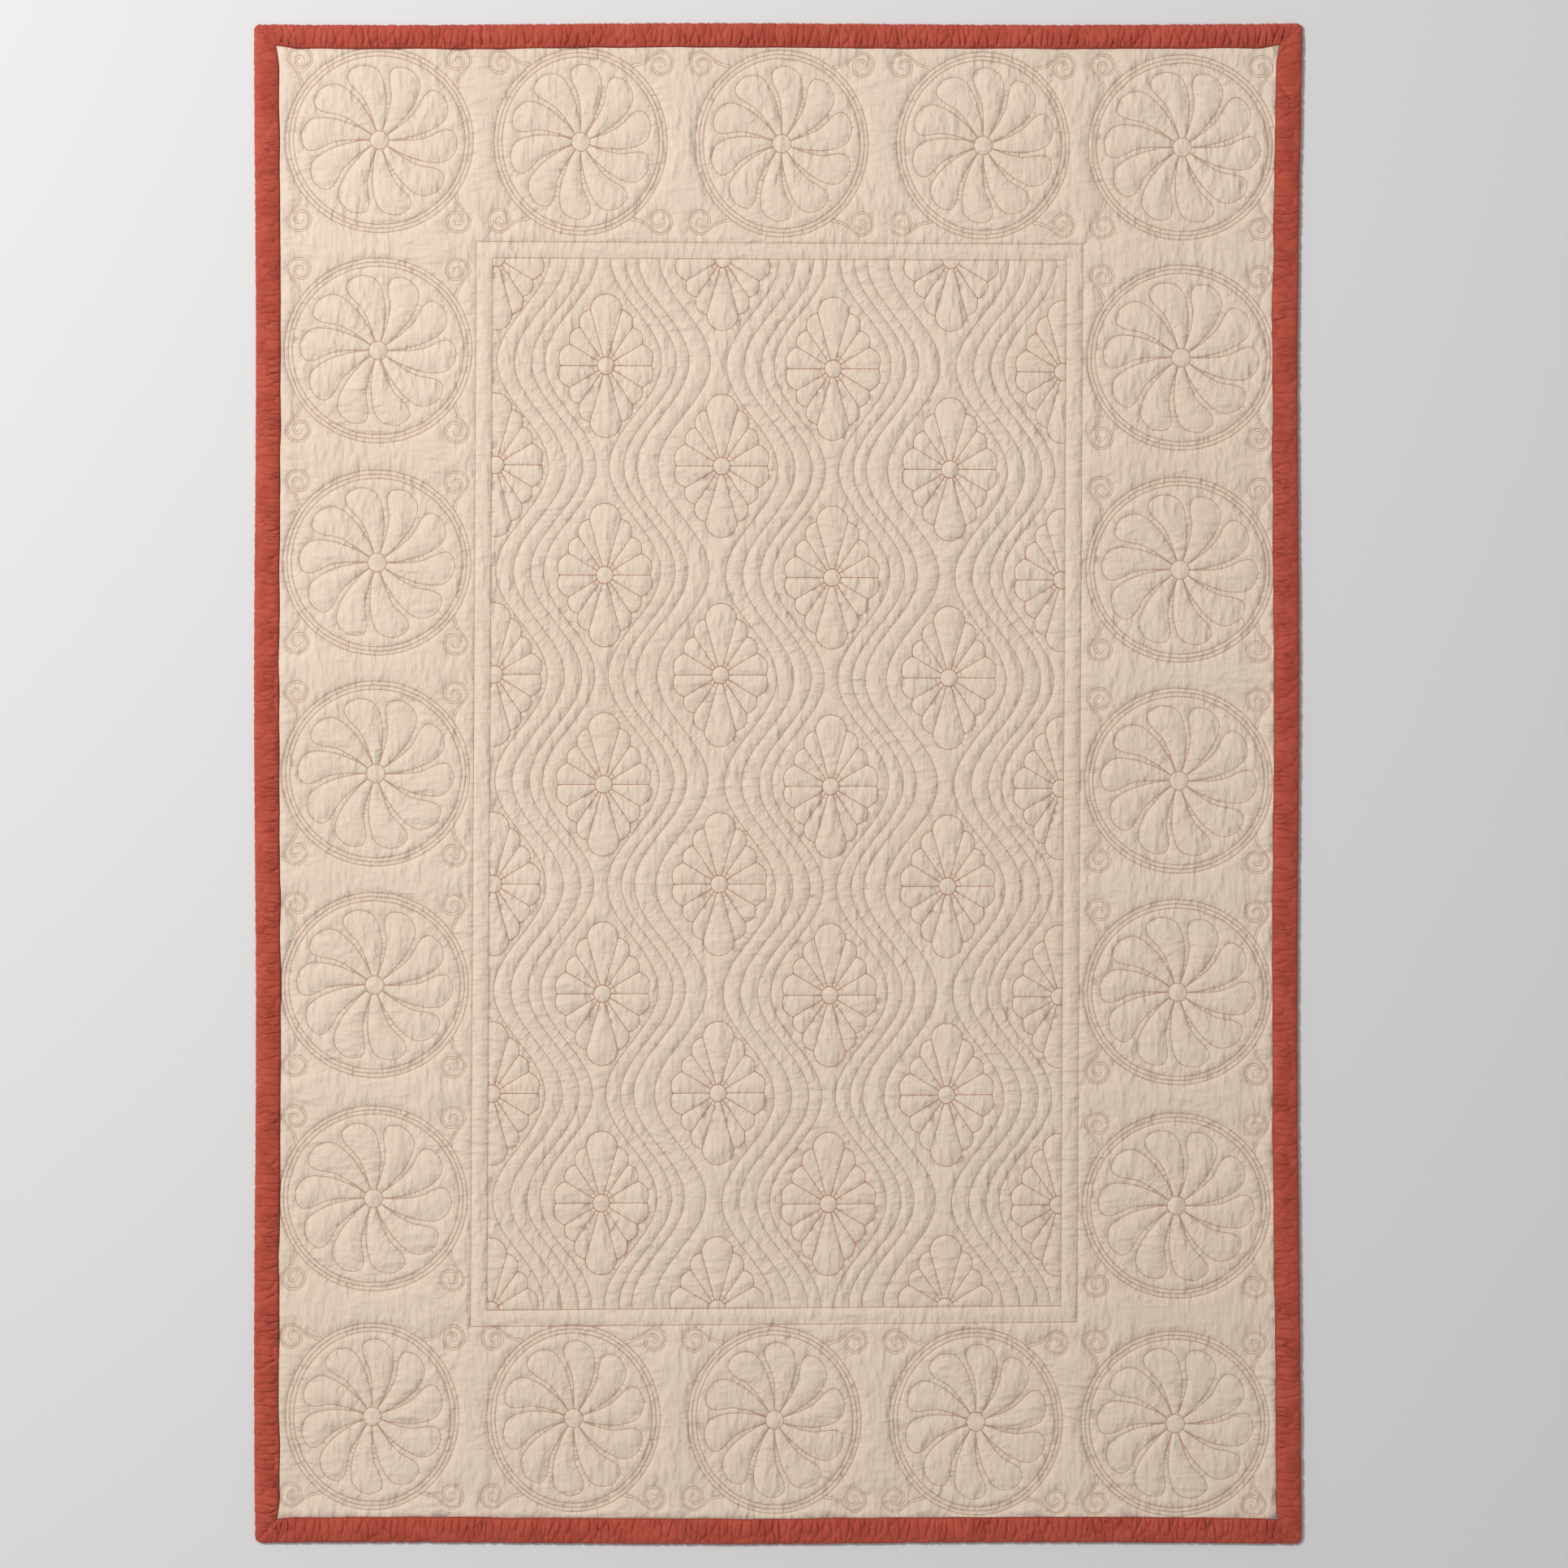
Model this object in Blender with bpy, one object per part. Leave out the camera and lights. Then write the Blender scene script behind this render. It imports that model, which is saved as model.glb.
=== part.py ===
"""A quilted single bedspread, lying flat with its face up.

A cream whole-cloth panel is quilted with a border of wheels, a plain double frame and a centre field of
pointed flowers between wavy lines. Four gathered, padded strips bind its edges and are mitred at the corners.
The wadding stands up between the rows of quilting, which pull it down, so the pattern is low relief.

Units are millimetres in the tables and functions, and metres in the meshes.
+X is to the right, +Y is towards the top of the bedspread and +Z is up, away from what it lies on.
"""
import math

import bmesh
import bpy
from mathutils import Vector, geometry, kdtree, noise

MM = 0.001

# Outer size
WIDTH = 1786.0
LENGTH = 2600.0
BINDING = {"left": 39.0, "right": 40.0, "top": 37.5, "bottom": 42.0}
CORNER_EASE = 3.0
RIGHT_FLARE = 6.0
FLARE_POWER = 4
EDGE_WANDER = 1.6
EDGE_WAVE = 1150.0
EDGE_PHASES = (0.7, 2.1)
GAP = 0.4
MERGE_DISTANCE = 0.05

# Heights of the padded cloth
SEAM_HEIGHT = 3.0
FULL_HEIGHT = 7.6
PUFF_REACH = 22.0
PUFF_FULLNESS = 0.8
WALL_HEIGHT = 3.4
UNEVEN_HEIGHT = 0.5
UNEVEN_SCALE = 160.0

# Border wheels: seven rows and five columns, round the edge only
WHEEL_COLUMNS = 5
WHEEL_ROWS = 7
WHEEL_PITCH_X = 343.5
WHEEL_PITCH_Y = 363.6
WHEEL_CENTRE_Y = 4.0
RING_RADIUS = 155.0
RING_OVAL = 1.012
RING_POINTS = 16
PETALS = 10
PETAL_TURN = 18.0
HUB_RADIUS = 17.0
# A row for each section of a petal: distance from the hub's middle, then where its clockwise and its
# counter-clockwise edges lie, in degrees from the petal's middle at the hub
PETAL_SECTIONS = (
    {"radius": 68.0, "clockwise": -10.5, "counter": 19.5},
    {"radius": 107.0, "clockwise": -2.5, "counter": 27.0},
)
PETAL_TIP = {"radius": 132.0, "angle": 13.5}
PETAL_CROWNS = (
    {"radius": 46.0, "angle": 2.5},
    {"radius": 94.0, "angle": 9.5},
)
HUB_EDGE_ANGLE = 18.0

# Scrolls: one off each quarter of a wheel
SCROLL_OFFSET_X = 137.0
SCROLL_OFFSET_Y = 137.0
SCROLL_RADIUS = 19.5
SCROLL_POINTS = 6

# Frame round the centre field
FIELD_HALF_WIDTH = 491.0
FIELD_HALF_LENGTH = 897.4
FRAME_BAND = 28.0
FRAME_STEP = 300.0

# Flowers and wavy lines of the centre field
FLOWER_COLUMNS = 6
FLOWER_PITCH_X = 2 * FIELD_HALF_WIDTH / (FLOWER_COLUMNS - 1)
FLOWER_PITCH_Y = 357.5
STAGGER_LIFT = 5.0
FLOWER_HUB = 15.0
FLOWER_HUB_POINTS = 7
# A row for each notch of a quarter of a flower, from its middle: across, then up
FLOWER_NOTCHES = (
    {"across": 78.0, "up": 0.0},
    {"across": 62.0, "up": 37.3},
    {"across": 44.9, "up": 65.7},
    {"across": 27.0, "up": 95.8},
)
END_STEPS = 4
PASSAGE_CROWN = 150.0
SCALLOP_BULGE = 0.26
SCALLOP_CROWN = 0.72
WAVES_PER_GAP = ({"offset": 56.5, "swing": 42.0}, {"offset": 85.0, "swing": 38.5},
                 {"offset": 111.4, "swing": 38.5}, {"offset": 139.9, "swing": 42.0})
WAVE_STEPS = 6

# How far the marking out of the pattern leans, as rise over run
LEAN_X = 0.0056
BORDER_TILT = 0.009
FIELD_TILT = -0.0015
FIELD_TILT_CHANGE = 0.006

# Where the ground stands up round a wheel: a row for each place, as shares of half a wheel's pitch. Where
# that is too near a seam or the edge, it is drawn in by the second shrink.
GROUND_CROWNS = (
    {"across": 1.0, "up": 1.0},
    {"across": 1.0, "up": 0.5},
    {"across": 1.0, "up": 0.0},
    {"across": 0.5, "up": 1.0},
    {"across": 0.0, "up": 1.0},
)
GROUND_SHRINKS = (1.0, 0.9)
GROUND_CLEAR = 8.0
EDGE_STEP = 110.0

# Gathered binding: a padded roll. A row for each line along the strip, from its inner to its outer edge
ROLL_HEIGHT = 13.0
ROLL_SECTION = (
    {"across": 0.0, "rise": 0.3},
    {"across": 0.27, "rise": 0.9},
    {"across": 0.66, "rise": 0.97},
    {"across": 1.0, "rise": 0.3},
)
ROLL_VARIES = 0.1
CREASE_DEPTH = 0.34
CREASE_PULL = 2.2
CREASE_SLANT = 9.0
GATHER_JITTER = 0.9
NOISE_STEP = 1.37
MITRE_RUN = 70.0
CORNER_ROUND = 12.0
CORNER_RISE = 0.85
# A row for each strip, counter-clockwise: the corners it runs between, and how far apart its gathers are
STRIPS = {
    "bottom": {"start": "bottom_left", "end": "bottom_right", "pitch": 32.0, "seed": 11.0},
    "right": {"start": "bottom_right", "end": "top_right", "pitch": 46.0, "seed": 5.0},
    "top": {"start": "top_right", "end": "top_left", "pitch": 32.0, "seed": 8.0},
    "left": {"start": "top_left", "end": "bottom_left", "pitch": 46.0, "seed": 2.0},
}
CORNERS = {"bottom_left": ("left", "bottom"), "bottom_right": ("right", "bottom"),
           "top_right": ("right", "top"), "top_left": ("left", "top")}

CREAM = {"color": (0.70, 0.565, 0.45, 1.0), "roughness": 0.92}
RUST = {"color": (0.38, 0.078, 0.045, 1.0), "roughness": 0.88}


def clear_scene():
    for item in list(bpy.data.objects):
        bpy.data.objects.remove(item, do_unlink=True)


def cloth_material(name, look):
    material = bpy.data.materials.new(name)
    material.use_nodes = True
    shader = material.node_tree.nodes["Principled BSDF"]
    shader.inputs["Base Color"].default_value = look["color"]
    shader.inputs["Roughness"].default_value = look["roughness"]
    shader.inputs["Metallic"].default_value = 0.0
    return material


def polar(radius, degrees):
    angle = math.radians(degrees)
    return radius * math.cos(angle), radius * math.sin(angle)


def lean(point, tilt):
    """The pattern was marked out by hand, so its rows and columns lean a little."""
    u, v = point
    return u + LEAN_X * v, v - tilt * u


def field_tilt(v):
    return FIELD_TILT + FIELD_TILT_CHANGE * v / FIELD_HALF_LENGTH


def wander(point):
    """The cut edges wander slowly, and the right-hand edge flares out at both its corners."""
    x, y = point
    along = math.tau / EDGE_WAVE
    flare = RIGHT_FLARE * max(0.0, x / (WIDTH / 2)) * (abs(y) / (LENGTH / 2)) ** FLARE_POWER
    dx = EDGE_WANDER * math.sin(along * y + EDGE_PHASES[0]) * (x / (WIDTH / 2)) + flare
    dy = EDGE_WANDER * math.sin(along * x + EDGE_PHASES[1]) * (y / (LENGTH / 2))
    return x + dx, y + dy


def wheel_places():
    """The middle of each border wheel, and how far the wheel is turned."""
    places = []
    for row in range(WHEEL_ROWS):
        for column in range(WHEEL_COLUMNS):
            on_side = column in (0, WHEEL_COLUMNS - 1)
            on_end = row in (0, WHEEL_ROWS - 1)
            if not (on_side or on_end):
                continue
            u = (column - (WHEEL_COLUMNS - 1) / 2) * WHEEL_PITCH_X
            v = ((WHEEL_ROWS - 1) / 2 - row) * WHEEL_PITCH_Y + WHEEL_CENTRE_Y
            bottom_left = row == WHEEL_ROWS - 1 and column == 0
            turn = 0.0 if on_side and not bottom_left else 90.0
            places.append((u, v, turn))
    return places


def wheel_pattern(u, v, turn):
    """Seams and crowns of one wheel: its ring, its leaning petals and its hub."""
    def place(point):
        return lean((u + point[0], v + point[1]), BORDER_TILT)

    ring = []
    for index in range(RING_POINTS):
        x, y = polar(RING_RADIUS, 360 * index / RING_POINTS)
        ring.append(place((x * RING_OVAL, y)))
    hub = []
    seams = [(ring, True)]
    crowns = [place((0.0, 0.0))]
    for index in range(PETALS):
        middle = turn + PETAL_TURN + 360 * index / PETALS
        start = polar(HUB_RADIUS, middle - HUB_EDGE_ANGLE)
        end = polar(HUB_RADIUS, middle + HUB_EDGE_ANGLE)
        side = [polar(row["radius"], middle + row["clockwise"]) for row in PETAL_SECTIONS]
        back = [polar(row["radius"], middle + row["counter"]) for row in reversed(PETAL_SECTIONS)]
        tip = polar(PETAL_TIP["radius"], middle + PETAL_TIP["angle"])
        petal = [start] + side + [tip] + back + [end]
        seams.append(([place(point) for point in petal], False))
        hub.append(place(start))
        for row in PETAL_CROWNS:
            crowns.append(place(polar(row["radius"], middle + row["angle"])))
    seams.append((hub, True))
    return seams, crowns


def scroll_pattern(u, v):
    """The curled ends off a wheel's four quarters."""
    seams = []
    crowns = []
    for side in (-1, 1):
        for end in (-1, 1):
            centre_u = u + side * SCROLL_OFFSET_X
            centre_v = v + end * SCROLL_OFFSET_Y
            curl = []
            for index in range(SCROLL_POINTS):
                x, y = polar(SCROLL_RADIUS, 360 * index / SCROLL_POINTS)
                curl.append(lean((centre_u + x, centre_v + y), BORDER_TILT))
            seams.append((curl, True))
            crowns.append(lean((centre_u, centre_v), BORDER_TILT))
    return seams, crowns


def flower_outline():
    """Notches all round one flower, counter-clockwise from its right-hand side."""
    quarter = [(row["across"], row["up"]) for row in FLOWER_NOTCHES]
    upper = quarter + [(-x, y) for x, y in reversed(quarter)]
    lower = [(-x, -y) for x, y in upper[1:-1]]
    return upper + lower


def scallop(first, second):
    """The outer end of a petal between two notches: one point, or a half circle on the two long petals."""
    x = (first[0] + second[0]) / 2
    y = (first[1] + second[1]) / 2
    chord = math.hypot(second[0] - first[0], second[1] - first[1])
    if round(x) == 0:
        turn = 0.0 if y > 0 else 180.0
        around = [polar(chord / 2, turn + 180 * step / END_STEPS) for step in range(1, END_STEPS)]
        return [(px, y + py) for px, py in around]
    grow = 1 + SCALLOP_BULGE * chord / math.hypot(x, y)
    return [(x * grow, y * grow)]


def in_field(point):
    return abs(point[0]) <= FIELD_HALF_WIDTH and abs(point[1]) <= FIELD_HALF_LENGTH


def clip_to_field(points):
    """The stretches of a seam that lie inside the frame."""
    pieces = []
    piece = []
    for first, second in zip(points, points[1:]):
        span = clip_segment(first, second)
        if span is None:
            continue
        start, end = span
        if not piece or piece[-1] != start:
            if len(piece) > 1:
                pieces.append(piece)
            piece = [start]
        piece.append(end)
    if len(piece) > 1:
        pieces.append(piece)
    return pieces


def clip_segment(first, second):
    low, high = 0.0, 1.0
    for axis, limit in ((0, FIELD_HALF_WIDTH), (1, FIELD_HALF_LENGTH)):
        step = second[axis] - first[axis]
        for side in (-1, 1):
            room = limit - side * first[axis]
            rate = side * step
            if abs(rate) < 1e-9:
                if room < 0:
                    return None
            elif rate > 0:
                high = min(high, room / rate)
            else:
                low = max(low, room / rate)
    if low >= high:
        return None

    def at(share):
        if share == 0.0:
            return first
        if share == 1.0:
            return second
        return tuple(first[i] + share * (second[i] - first[i]) for i in (0, 1))

    return at(low), at(high)


def field_place(point):
    return lean(point, field_tilt(point[1]))


def flower_pattern(u, v):
    """Seams and crowns of one flower: its hub, spokes and scalloped edge, cut off at the frame."""
    notches = flower_outline()
    seams = []
    crowns = []
    edge = []
    for first, second in zip(notches, notches[1:] + notches[:1]):
        end = scallop(first, second)
        top = end[len(end) // 2]
        edge += [first] + end
        crowns.append((u + SCALLOP_CROWN * top[0], v + SCALLOP_CROWN * top[1]))
    edge.append(edge[0])
    lines = [edge]
    for notch in notches:
        reach = math.hypot(*notch)
        start = (notch[0] * FLOWER_HUB / reach, notch[1] * FLOWER_HUB / reach)
        lines.append([start, notch])
    hub = []
    for index in range(FLOWER_HUB_POINTS + 1):
        hub.append(polar(FLOWER_HUB, 360 * index / FLOWER_HUB_POINTS))
    lines.append(hub)
    for line in lines:
        moved = [(u + x, v + y) for x, y in line]
        for piece in clip_to_field(moved):
            seams.append(([field_place(point) for point in piece], False))
    crowns.append((u, v))
    crowns += [(u, v + PASSAGE_CROWN), (u, v - PASSAGE_CROWN)]
    inside = [field_place(point) for point in crowns if in_field(point)]
    return seams, inside


def flower_places():
    """Flowers stand in columns; every other column is half a pitch lower, and starts on the frame."""
    places = []
    for column in range(FLOWER_COLUMNS):
        u = (column - (FLOWER_COLUMNS - 1) / 2) * FLOWER_PITCH_X
        staggered = column % 2 == 0
        count = 6 if staggered else 5
        for row in range(count):
            v = ((count - 1) / 2 - row) * FLOWER_PITCH_Y
            lift = STAGGER_LIFT if staggered and 0 < row < count - 1 else 0.0
            if staggered and row in (0, count - 1):
                v = math.copysign(FIELD_HALF_LENGTH, v)
            places.append((u, v + lift))
    return places


def wave_line(axis, sign, wave, steps):
    """One wavy line, from the top of the frame to the bottom."""
    line = []
    for index in range(steps + 1):
        v = FIELD_HALF_LENGTH * (1 - 2 * index / steps)
        swing = sign * wave["swing"] * math.cos(math.tau * v / FLOWER_PITCH_Y)
        line.append(field_place((axis + wave["offset"] + swing, v)))
    return line


def wave_pattern():
    """Four wavy seams in each gap between two columns of flowers, and the ridges between them."""
    seams = []
    ridges = []
    steps = round(2 * FIELD_HALF_LENGTH / FLOWER_PITCH_Y * WAVE_STEPS)
    for column in range(FLOWER_COLUMNS - 1):
        axis = (column - (FLOWER_COLUMNS - 1) / 2) * FLOWER_PITCH_X
        sign = -1 if column % 2 == 0 else 1
        lines = [wave_line(axis, sign, wave, steps) for wave in WAVES_PER_GAP]
        seams += [(line, False) for line in lines]
        for left, right in zip(lines, lines[1:]):
            ridge = [((a[0] + b[0]) / 2, (a[1] + b[1]) / 2) for a, b in zip(left, right)]
            ridges.append((ridge[1:-1], False))
    return seams, ridges


def frame_pattern():
    """The two lines of the frame, and the ridge of the band between them."""
    rings = []
    for outset in (0.0, FRAME_BAND / 2, FRAME_BAND):
        half_u = FIELD_HALF_WIDTH + outset
        half_v = FIELD_HALF_LENGTH + outset
        corners = [(-half_u, -half_v), (half_u, -half_v), (half_u, half_v), (-half_u, half_v)]
        ring = []
        for first, second in zip(corners, corners[1:] + corners[:1]):
            length = math.dist(first, second)
            count = round(length / FRAME_STEP)
            for index in range(count):
                share = index / count
                ring.append(tuple(first[i] + share * (second[i] - first[i]) for i in (0, 1)))
        rings.append([field_place(point) for point in ring])
    return [(rings[0], True), (rings[2], True)], [(rings[1], True)]


def quilting():
    """Every seam and every ridge as (points, closed), and the single points raised between seams."""
    frame_seams, frame_ridges = frame_pattern()
    wave_seams, wave_ridges = wave_pattern()
    seams = frame_seams + wave_seams
    crowns = []
    for u, v, turn in wheel_places():
        for more_seams, more_crowns in (wheel_pattern(u, v, turn), scroll_pattern(u, v)):
            seams += more_seams
            crowns += more_crowns
    for u, v in flower_places():
        more_seams, more_crowns = flower_pattern(u, v)
        seams += more_seams
        crowns += more_crowns
    return seams, frame_ridges + wave_ridges, crowns


def panel_outline():
    """The panel's edge, just inside the binding, counter-clockwise."""
    left = -WIDTH / 2 + BINDING["left"] + GAP
    right = WIDTH / 2 - BINDING["right"] - GAP
    bottom = -LENGTH / 2 + BINDING["bottom"] + GAP
    top = LENGTH / 2 - BINDING["top"] - GAP
    corners = [(left, bottom), (right, bottom), (right, top), (left, top)]
    outline = []
    for first, second in zip(corners, corners[1:] + corners[:1]):
        count = round(math.dist(first, second) / EDGE_STEP)
        for index in range(count):
            share = index / count
            outline.append(wander(tuple(first[i] + share * (second[i] - first[i]) for i in (0, 1))))
    return outline


def seam_tree(seams, step=8.0):
    """A search tree of points along every seam."""
    points = []
    for line, closed in seams:
        ends = line[1:] + line[:1] if closed else line[1:]
        for first, second in zip(line, ends):
            count = max(1, int(math.dist(first, second) / step))
            for index in range(count + 1):
                share = index / count
                points.append(tuple(first[i] + share * (second[i] - first[i]) for i in (0, 1)))
    tree = kdtree.KDTree(len(points))
    for index, (x, y) in enumerate(points):
        tree.insert((x, y, 0.0), index)
    tree.balance()
    return tree


def ground_crowns(tree):
    """Where the wadding stands up between the wheels, clear of every seam and edge."""
    points = set()
    for u, v, turn in wheel_places():
        for row in GROUND_CROWNS:
            for side, end in ((-1, -1), (-1, 1), (1, -1), (1, 1)):
                for shrink in GROUND_SHRINKS:
                    across = side * row["across"] * shrink * WHEEL_PITCH_X / 2
                    up = end * row["up"] * shrink * WHEEL_PITCH_Y / 2
                    point = lean((u + across, v + up), BORDER_TILT)
                    if on_ground(point) and tree.find((*point, 0.0))[2] > GROUND_CLEAR:
                        points.add((round(point[0], 3), round(point[1], 3)))
                        break
    return sorted(points)


def on_ground(point):
    """True on the plain ground of the border, outside the frame and inside the binding."""
    x, y = abs(point[0]), abs(point[1])
    past_frame = x > FIELD_HALF_WIDTH + FRAME_BAND or y > FIELD_HALF_LENGTH + FRAME_BAND
    inside = x < WIDTH / 2 - BINDING["right"] and y < LENGTH / 2 - BINDING["bottom"]
    return past_frame and inside


def puff_height(x, y, distance):
    """Height of the padded cloth at a distance from the nearest seam."""
    share = min(1.0, distance / PUFF_REACH)
    puff = math.sin(share * math.pi / 2) ** PUFF_FULLNESS
    uneven = UNEVEN_HEIGHT * noise.noise(Vector((x / UNEVEN_SCALE, y / UNEVEN_SCALE, 0.0)))
    return SEAM_HEIGHT + (FULL_HEIGHT - SEAM_HEIGHT) * puff + uneven * share


def add_lines(points, edges, lines):
    """Adds the points of some lines, and the edges that join them."""
    for line, closed in lines:
        start = len(points)
        points += line
        edges += [(start + i, start + i + 1) for i in range(len(line) - 1)]
        if closed:
            edges.append((start + len(line) - 1, start))


def build_panel():
    """One closed sheet: the quilted face, a flat back and a low edge all round."""
    seams, ridges, crowns = quilting()
    outline = panel_outline()
    tree = seam_tree(seams)
    edge_tree = seam_tree(seams + [(outline, True)])
    points = []
    edges = []
    add_lines(points, edges, [(outline, True)] + seams)
    first_raised = len(points)
    add_lines(points, edges, ridges)
    points += crowns
    points += ground_crowns(edge_tree)
    flat = [Vector(point) for point in points]
    verts, _, faces, origins, _, _ = geometry.delaunay_2d_cdt(flat, edges, [], 1, MERGE_DISTANCE)

    mesh = bmesh.new()
    face_verts = []
    for position, sources in zip(verts, origins):
        x, y = position
        if any(index < len(outline) for index in sources):
            height = WALL_HEIGHT
        elif any(index >= first_raised for index in sources):
            height = puff_height(x, y, tree.find((x, y, 0.0))[2])
        else:
            height = SEAM_HEIGHT
        face_verts.append(mesh.verts.new((x * MM, y * MM, height * MM)))
    for corners in faces:
        mesh.faces.new([face_verts[index] for index in corners])
    close_below(mesh)
    return finish_object("quilted_panel", mesh, cloth_material("cream cotton", CREAM))


def close_below(mesh):
    """A wall down from the open rim to the ground, and a flat back across it."""
    rim = [edge for edge in mesh.edges if edge.is_boundary]
    made = bmesh.ops.extrude_edge_only(mesh, edges=rim)["geom"]
    lower = [item for item in made if isinstance(item, bmesh.types.BMVert)]
    for vert in lower:
        vert.co.z = 0.0
    base = [edge for edge in made if isinstance(edge, bmesh.types.BMEdge) and edge.is_boundary]
    bmesh.ops.triangle_fill(mesh, edges=base, use_beauty=True)


def corner(name, inner):
    """A corner of the bedspread, at the binding's outer or inner edge."""
    across, up = CORNERS[name]
    side = 1 if across == "right" else -1
    end = 1 if up == "top" else -1
    inset_x = BINDING[across] if inner else 0.0
    inset_y = BINDING[up] if inner else 0.0
    return Vector((side * (WIDTH / 2 - inset_x), end * (LENGTH / 2 - inset_y)))


def gather_stations(strip, length):
    """Distances along a strip's outer edge, each with what lies there: a mitre, a puff or a crease."""
    count = 2 * round(length / strip["pitch"])
    stations = [(GAP, "mitre"), (CORNER_ROUND, "puff")]
    for index in range(1, count):
        jitter = GATHER_JITTER * noise.noise(Vector((index * NOISE_STEP, strip["seed"], 0.0)))
        distance = (index + jitter) * length / count
        if 2 * CORNER_ROUND < distance < length - 2 * CORNER_ROUND:
            stations.append((distance, "crease" if index % 2 else "puff"))
    return stations + [(length - CORNER_ROUND, "puff"), (length - GAP, "mitre")]


def inner_distance(distance, length, start_inset, end_inset):
    """Where a line across the strip meets its inner edge: straight across, but slanting at the mitres."""
    if distance < MITRE_RUN:
        return start_inset + distance * (MITRE_RUN - start_inset) / MITRE_RUN
    left_over = length - distance
    if left_over < MITRE_RUN:
        return length - end_inset - left_over * (MITRE_RUN - end_inset) / MITRE_RUN
    return distance


def build_binding(side):
    """One gathered strip, from mitre to mitre, with its length running counter-clockwise."""
    strip = STRIPS[side]
    start = corner(strip["start"], False)
    end = corner(strip["end"], False)
    length = (end - start).length
    along = (end - start) / length
    inward = Vector((-along.y, along.x))
    start_inset = (corner(strip["start"], True) - start).dot(along)
    end_inset = (end - corner(strip["end"], True)).dot(along)

    mesh = bmesh.new()
    loops = []
    for index, (distance, kind) in enumerate(gather_stations(strip, length)):
        inner = inner_distance(distance, length, start_inset, end_inset)
        vary = noise.noise(Vector((index * NOISE_STEP, strip["seed"], 0.0)))
        rise = ROLL_HEIGHT * (1 + ROLL_VARIES * vary)
        pull = 0.0
        lag = 0.0
        slant = CREASE_SLANT * vary if MITRE_RUN < distance < length - MITRE_RUN else 0.0
        if kind == "crease":
            rise *= 1 - CREASE_DEPTH
            pull = CREASE_PULL
        if kind == "mitre":
            rise *= CORNER_RISE
            pull = CORNER_EASE
            lag = CORNER_EASE if index == 0 else -CORNER_EASE
        edge = []
        for row in ROLL_SECTION:
            share = row["across"]
            run = inner + (distance - inner + lag) * share + slant * (share - 0.5)
            depth = BINDING[side] * (1 - share) + pull * share
            x, y = wander(start + along * run + inward * depth)
            low = share in (0.0, 1.0)
            height = row["rise"] * (ROLL_HEIGHT if low else rise)
            edge.append((x, y, height))
        edge.append((edge[-1][0], edge[-1][1], 0.0))
        edge.append((edge[0][0], edge[0][1], 0.0))
        loops.append([mesh.verts.new(Vector(point) * MM) for point in edge])
    for first, second in zip(loops, loops[1:]):
        for i in range(len(first)):
            j = (i + 1) % len(first)
            mesh.faces.new([first[i], first[j], second[j], second[i]])
    mesh.faces.new(list(reversed(loops[0])))
    mesh.faces.new(loops[-1])
    return finish_object("binding_" + side, mesh, cloth_material("rust cotton " + side, RUST))


def finish_object(name, mesh, material):
    bmesh.ops.triangulate(mesh, faces=mesh.faces[:])
    bmesh.ops.recalc_face_normals(mesh, faces=mesh.faces[:])
    data = bpy.data.meshes.new(name)
    mesh.to_mesh(data)
    mesh.free()
    data.materials.append(material)
    data.shade_smooth()
    item = bpy.data.objects.new(name, data)
    bpy.context.scene.collection.objects.link(item)
    return item


def centre_on_origin(items):
    """The origin is under the middle of the whole bedspread."""
    xs = [vert.co.x for item in items for vert in item.data.vertices]
    ys = [vert.co.y for item in items for vert in item.data.vertices]
    shift = Vector(((min(xs) + max(xs)) / 2, (min(ys) + max(ys)) / 2, 0.0))
    for item in items:
        for vert in item.data.vertices:
            vert.co -= shift


def main():
    clear_scene()
    items = [build_panel()]
    for side in STRIPS:
        items.append(build_binding(side))
    centre_on_origin(items)
    for item in items:
        print(item.name, len(item.data.polygons), "triangles")


main()
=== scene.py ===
# %% [markdown]
# # A quilted bedspread, laid out flat
#
# The real thing is two layers of cream cotton with a thin wadding between them. Rows of running stitch in
# rust thread hold the three layers together and pull them down, so the wadding stands up between the rows.
# Four strips of rust cotton, gathered and padded, bind the edges and meet in mitres at the corners.
#
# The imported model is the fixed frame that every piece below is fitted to. It is loaded first, and its box
# is kept, because the finished pieces have to stay inside it.

# %% Load the frame
import math

import bpy
import numpy as np
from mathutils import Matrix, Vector, geometry, kdtree, noise


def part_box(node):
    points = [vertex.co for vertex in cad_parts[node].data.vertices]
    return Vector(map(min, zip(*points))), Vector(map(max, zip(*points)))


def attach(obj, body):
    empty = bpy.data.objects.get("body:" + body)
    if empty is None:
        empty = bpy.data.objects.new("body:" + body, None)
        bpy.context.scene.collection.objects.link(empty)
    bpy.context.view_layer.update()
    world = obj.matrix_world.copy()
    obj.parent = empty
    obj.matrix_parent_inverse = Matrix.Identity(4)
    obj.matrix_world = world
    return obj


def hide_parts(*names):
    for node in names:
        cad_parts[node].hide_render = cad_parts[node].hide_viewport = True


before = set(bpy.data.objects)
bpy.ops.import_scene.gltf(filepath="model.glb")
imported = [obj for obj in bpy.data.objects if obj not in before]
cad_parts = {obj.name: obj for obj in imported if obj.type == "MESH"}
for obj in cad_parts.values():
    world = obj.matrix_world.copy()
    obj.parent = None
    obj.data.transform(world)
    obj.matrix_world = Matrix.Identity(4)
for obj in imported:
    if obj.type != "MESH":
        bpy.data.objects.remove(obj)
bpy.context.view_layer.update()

MM = 0.001
print("nodes in the frame:", ", ".join(sorted(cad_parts)))

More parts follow.
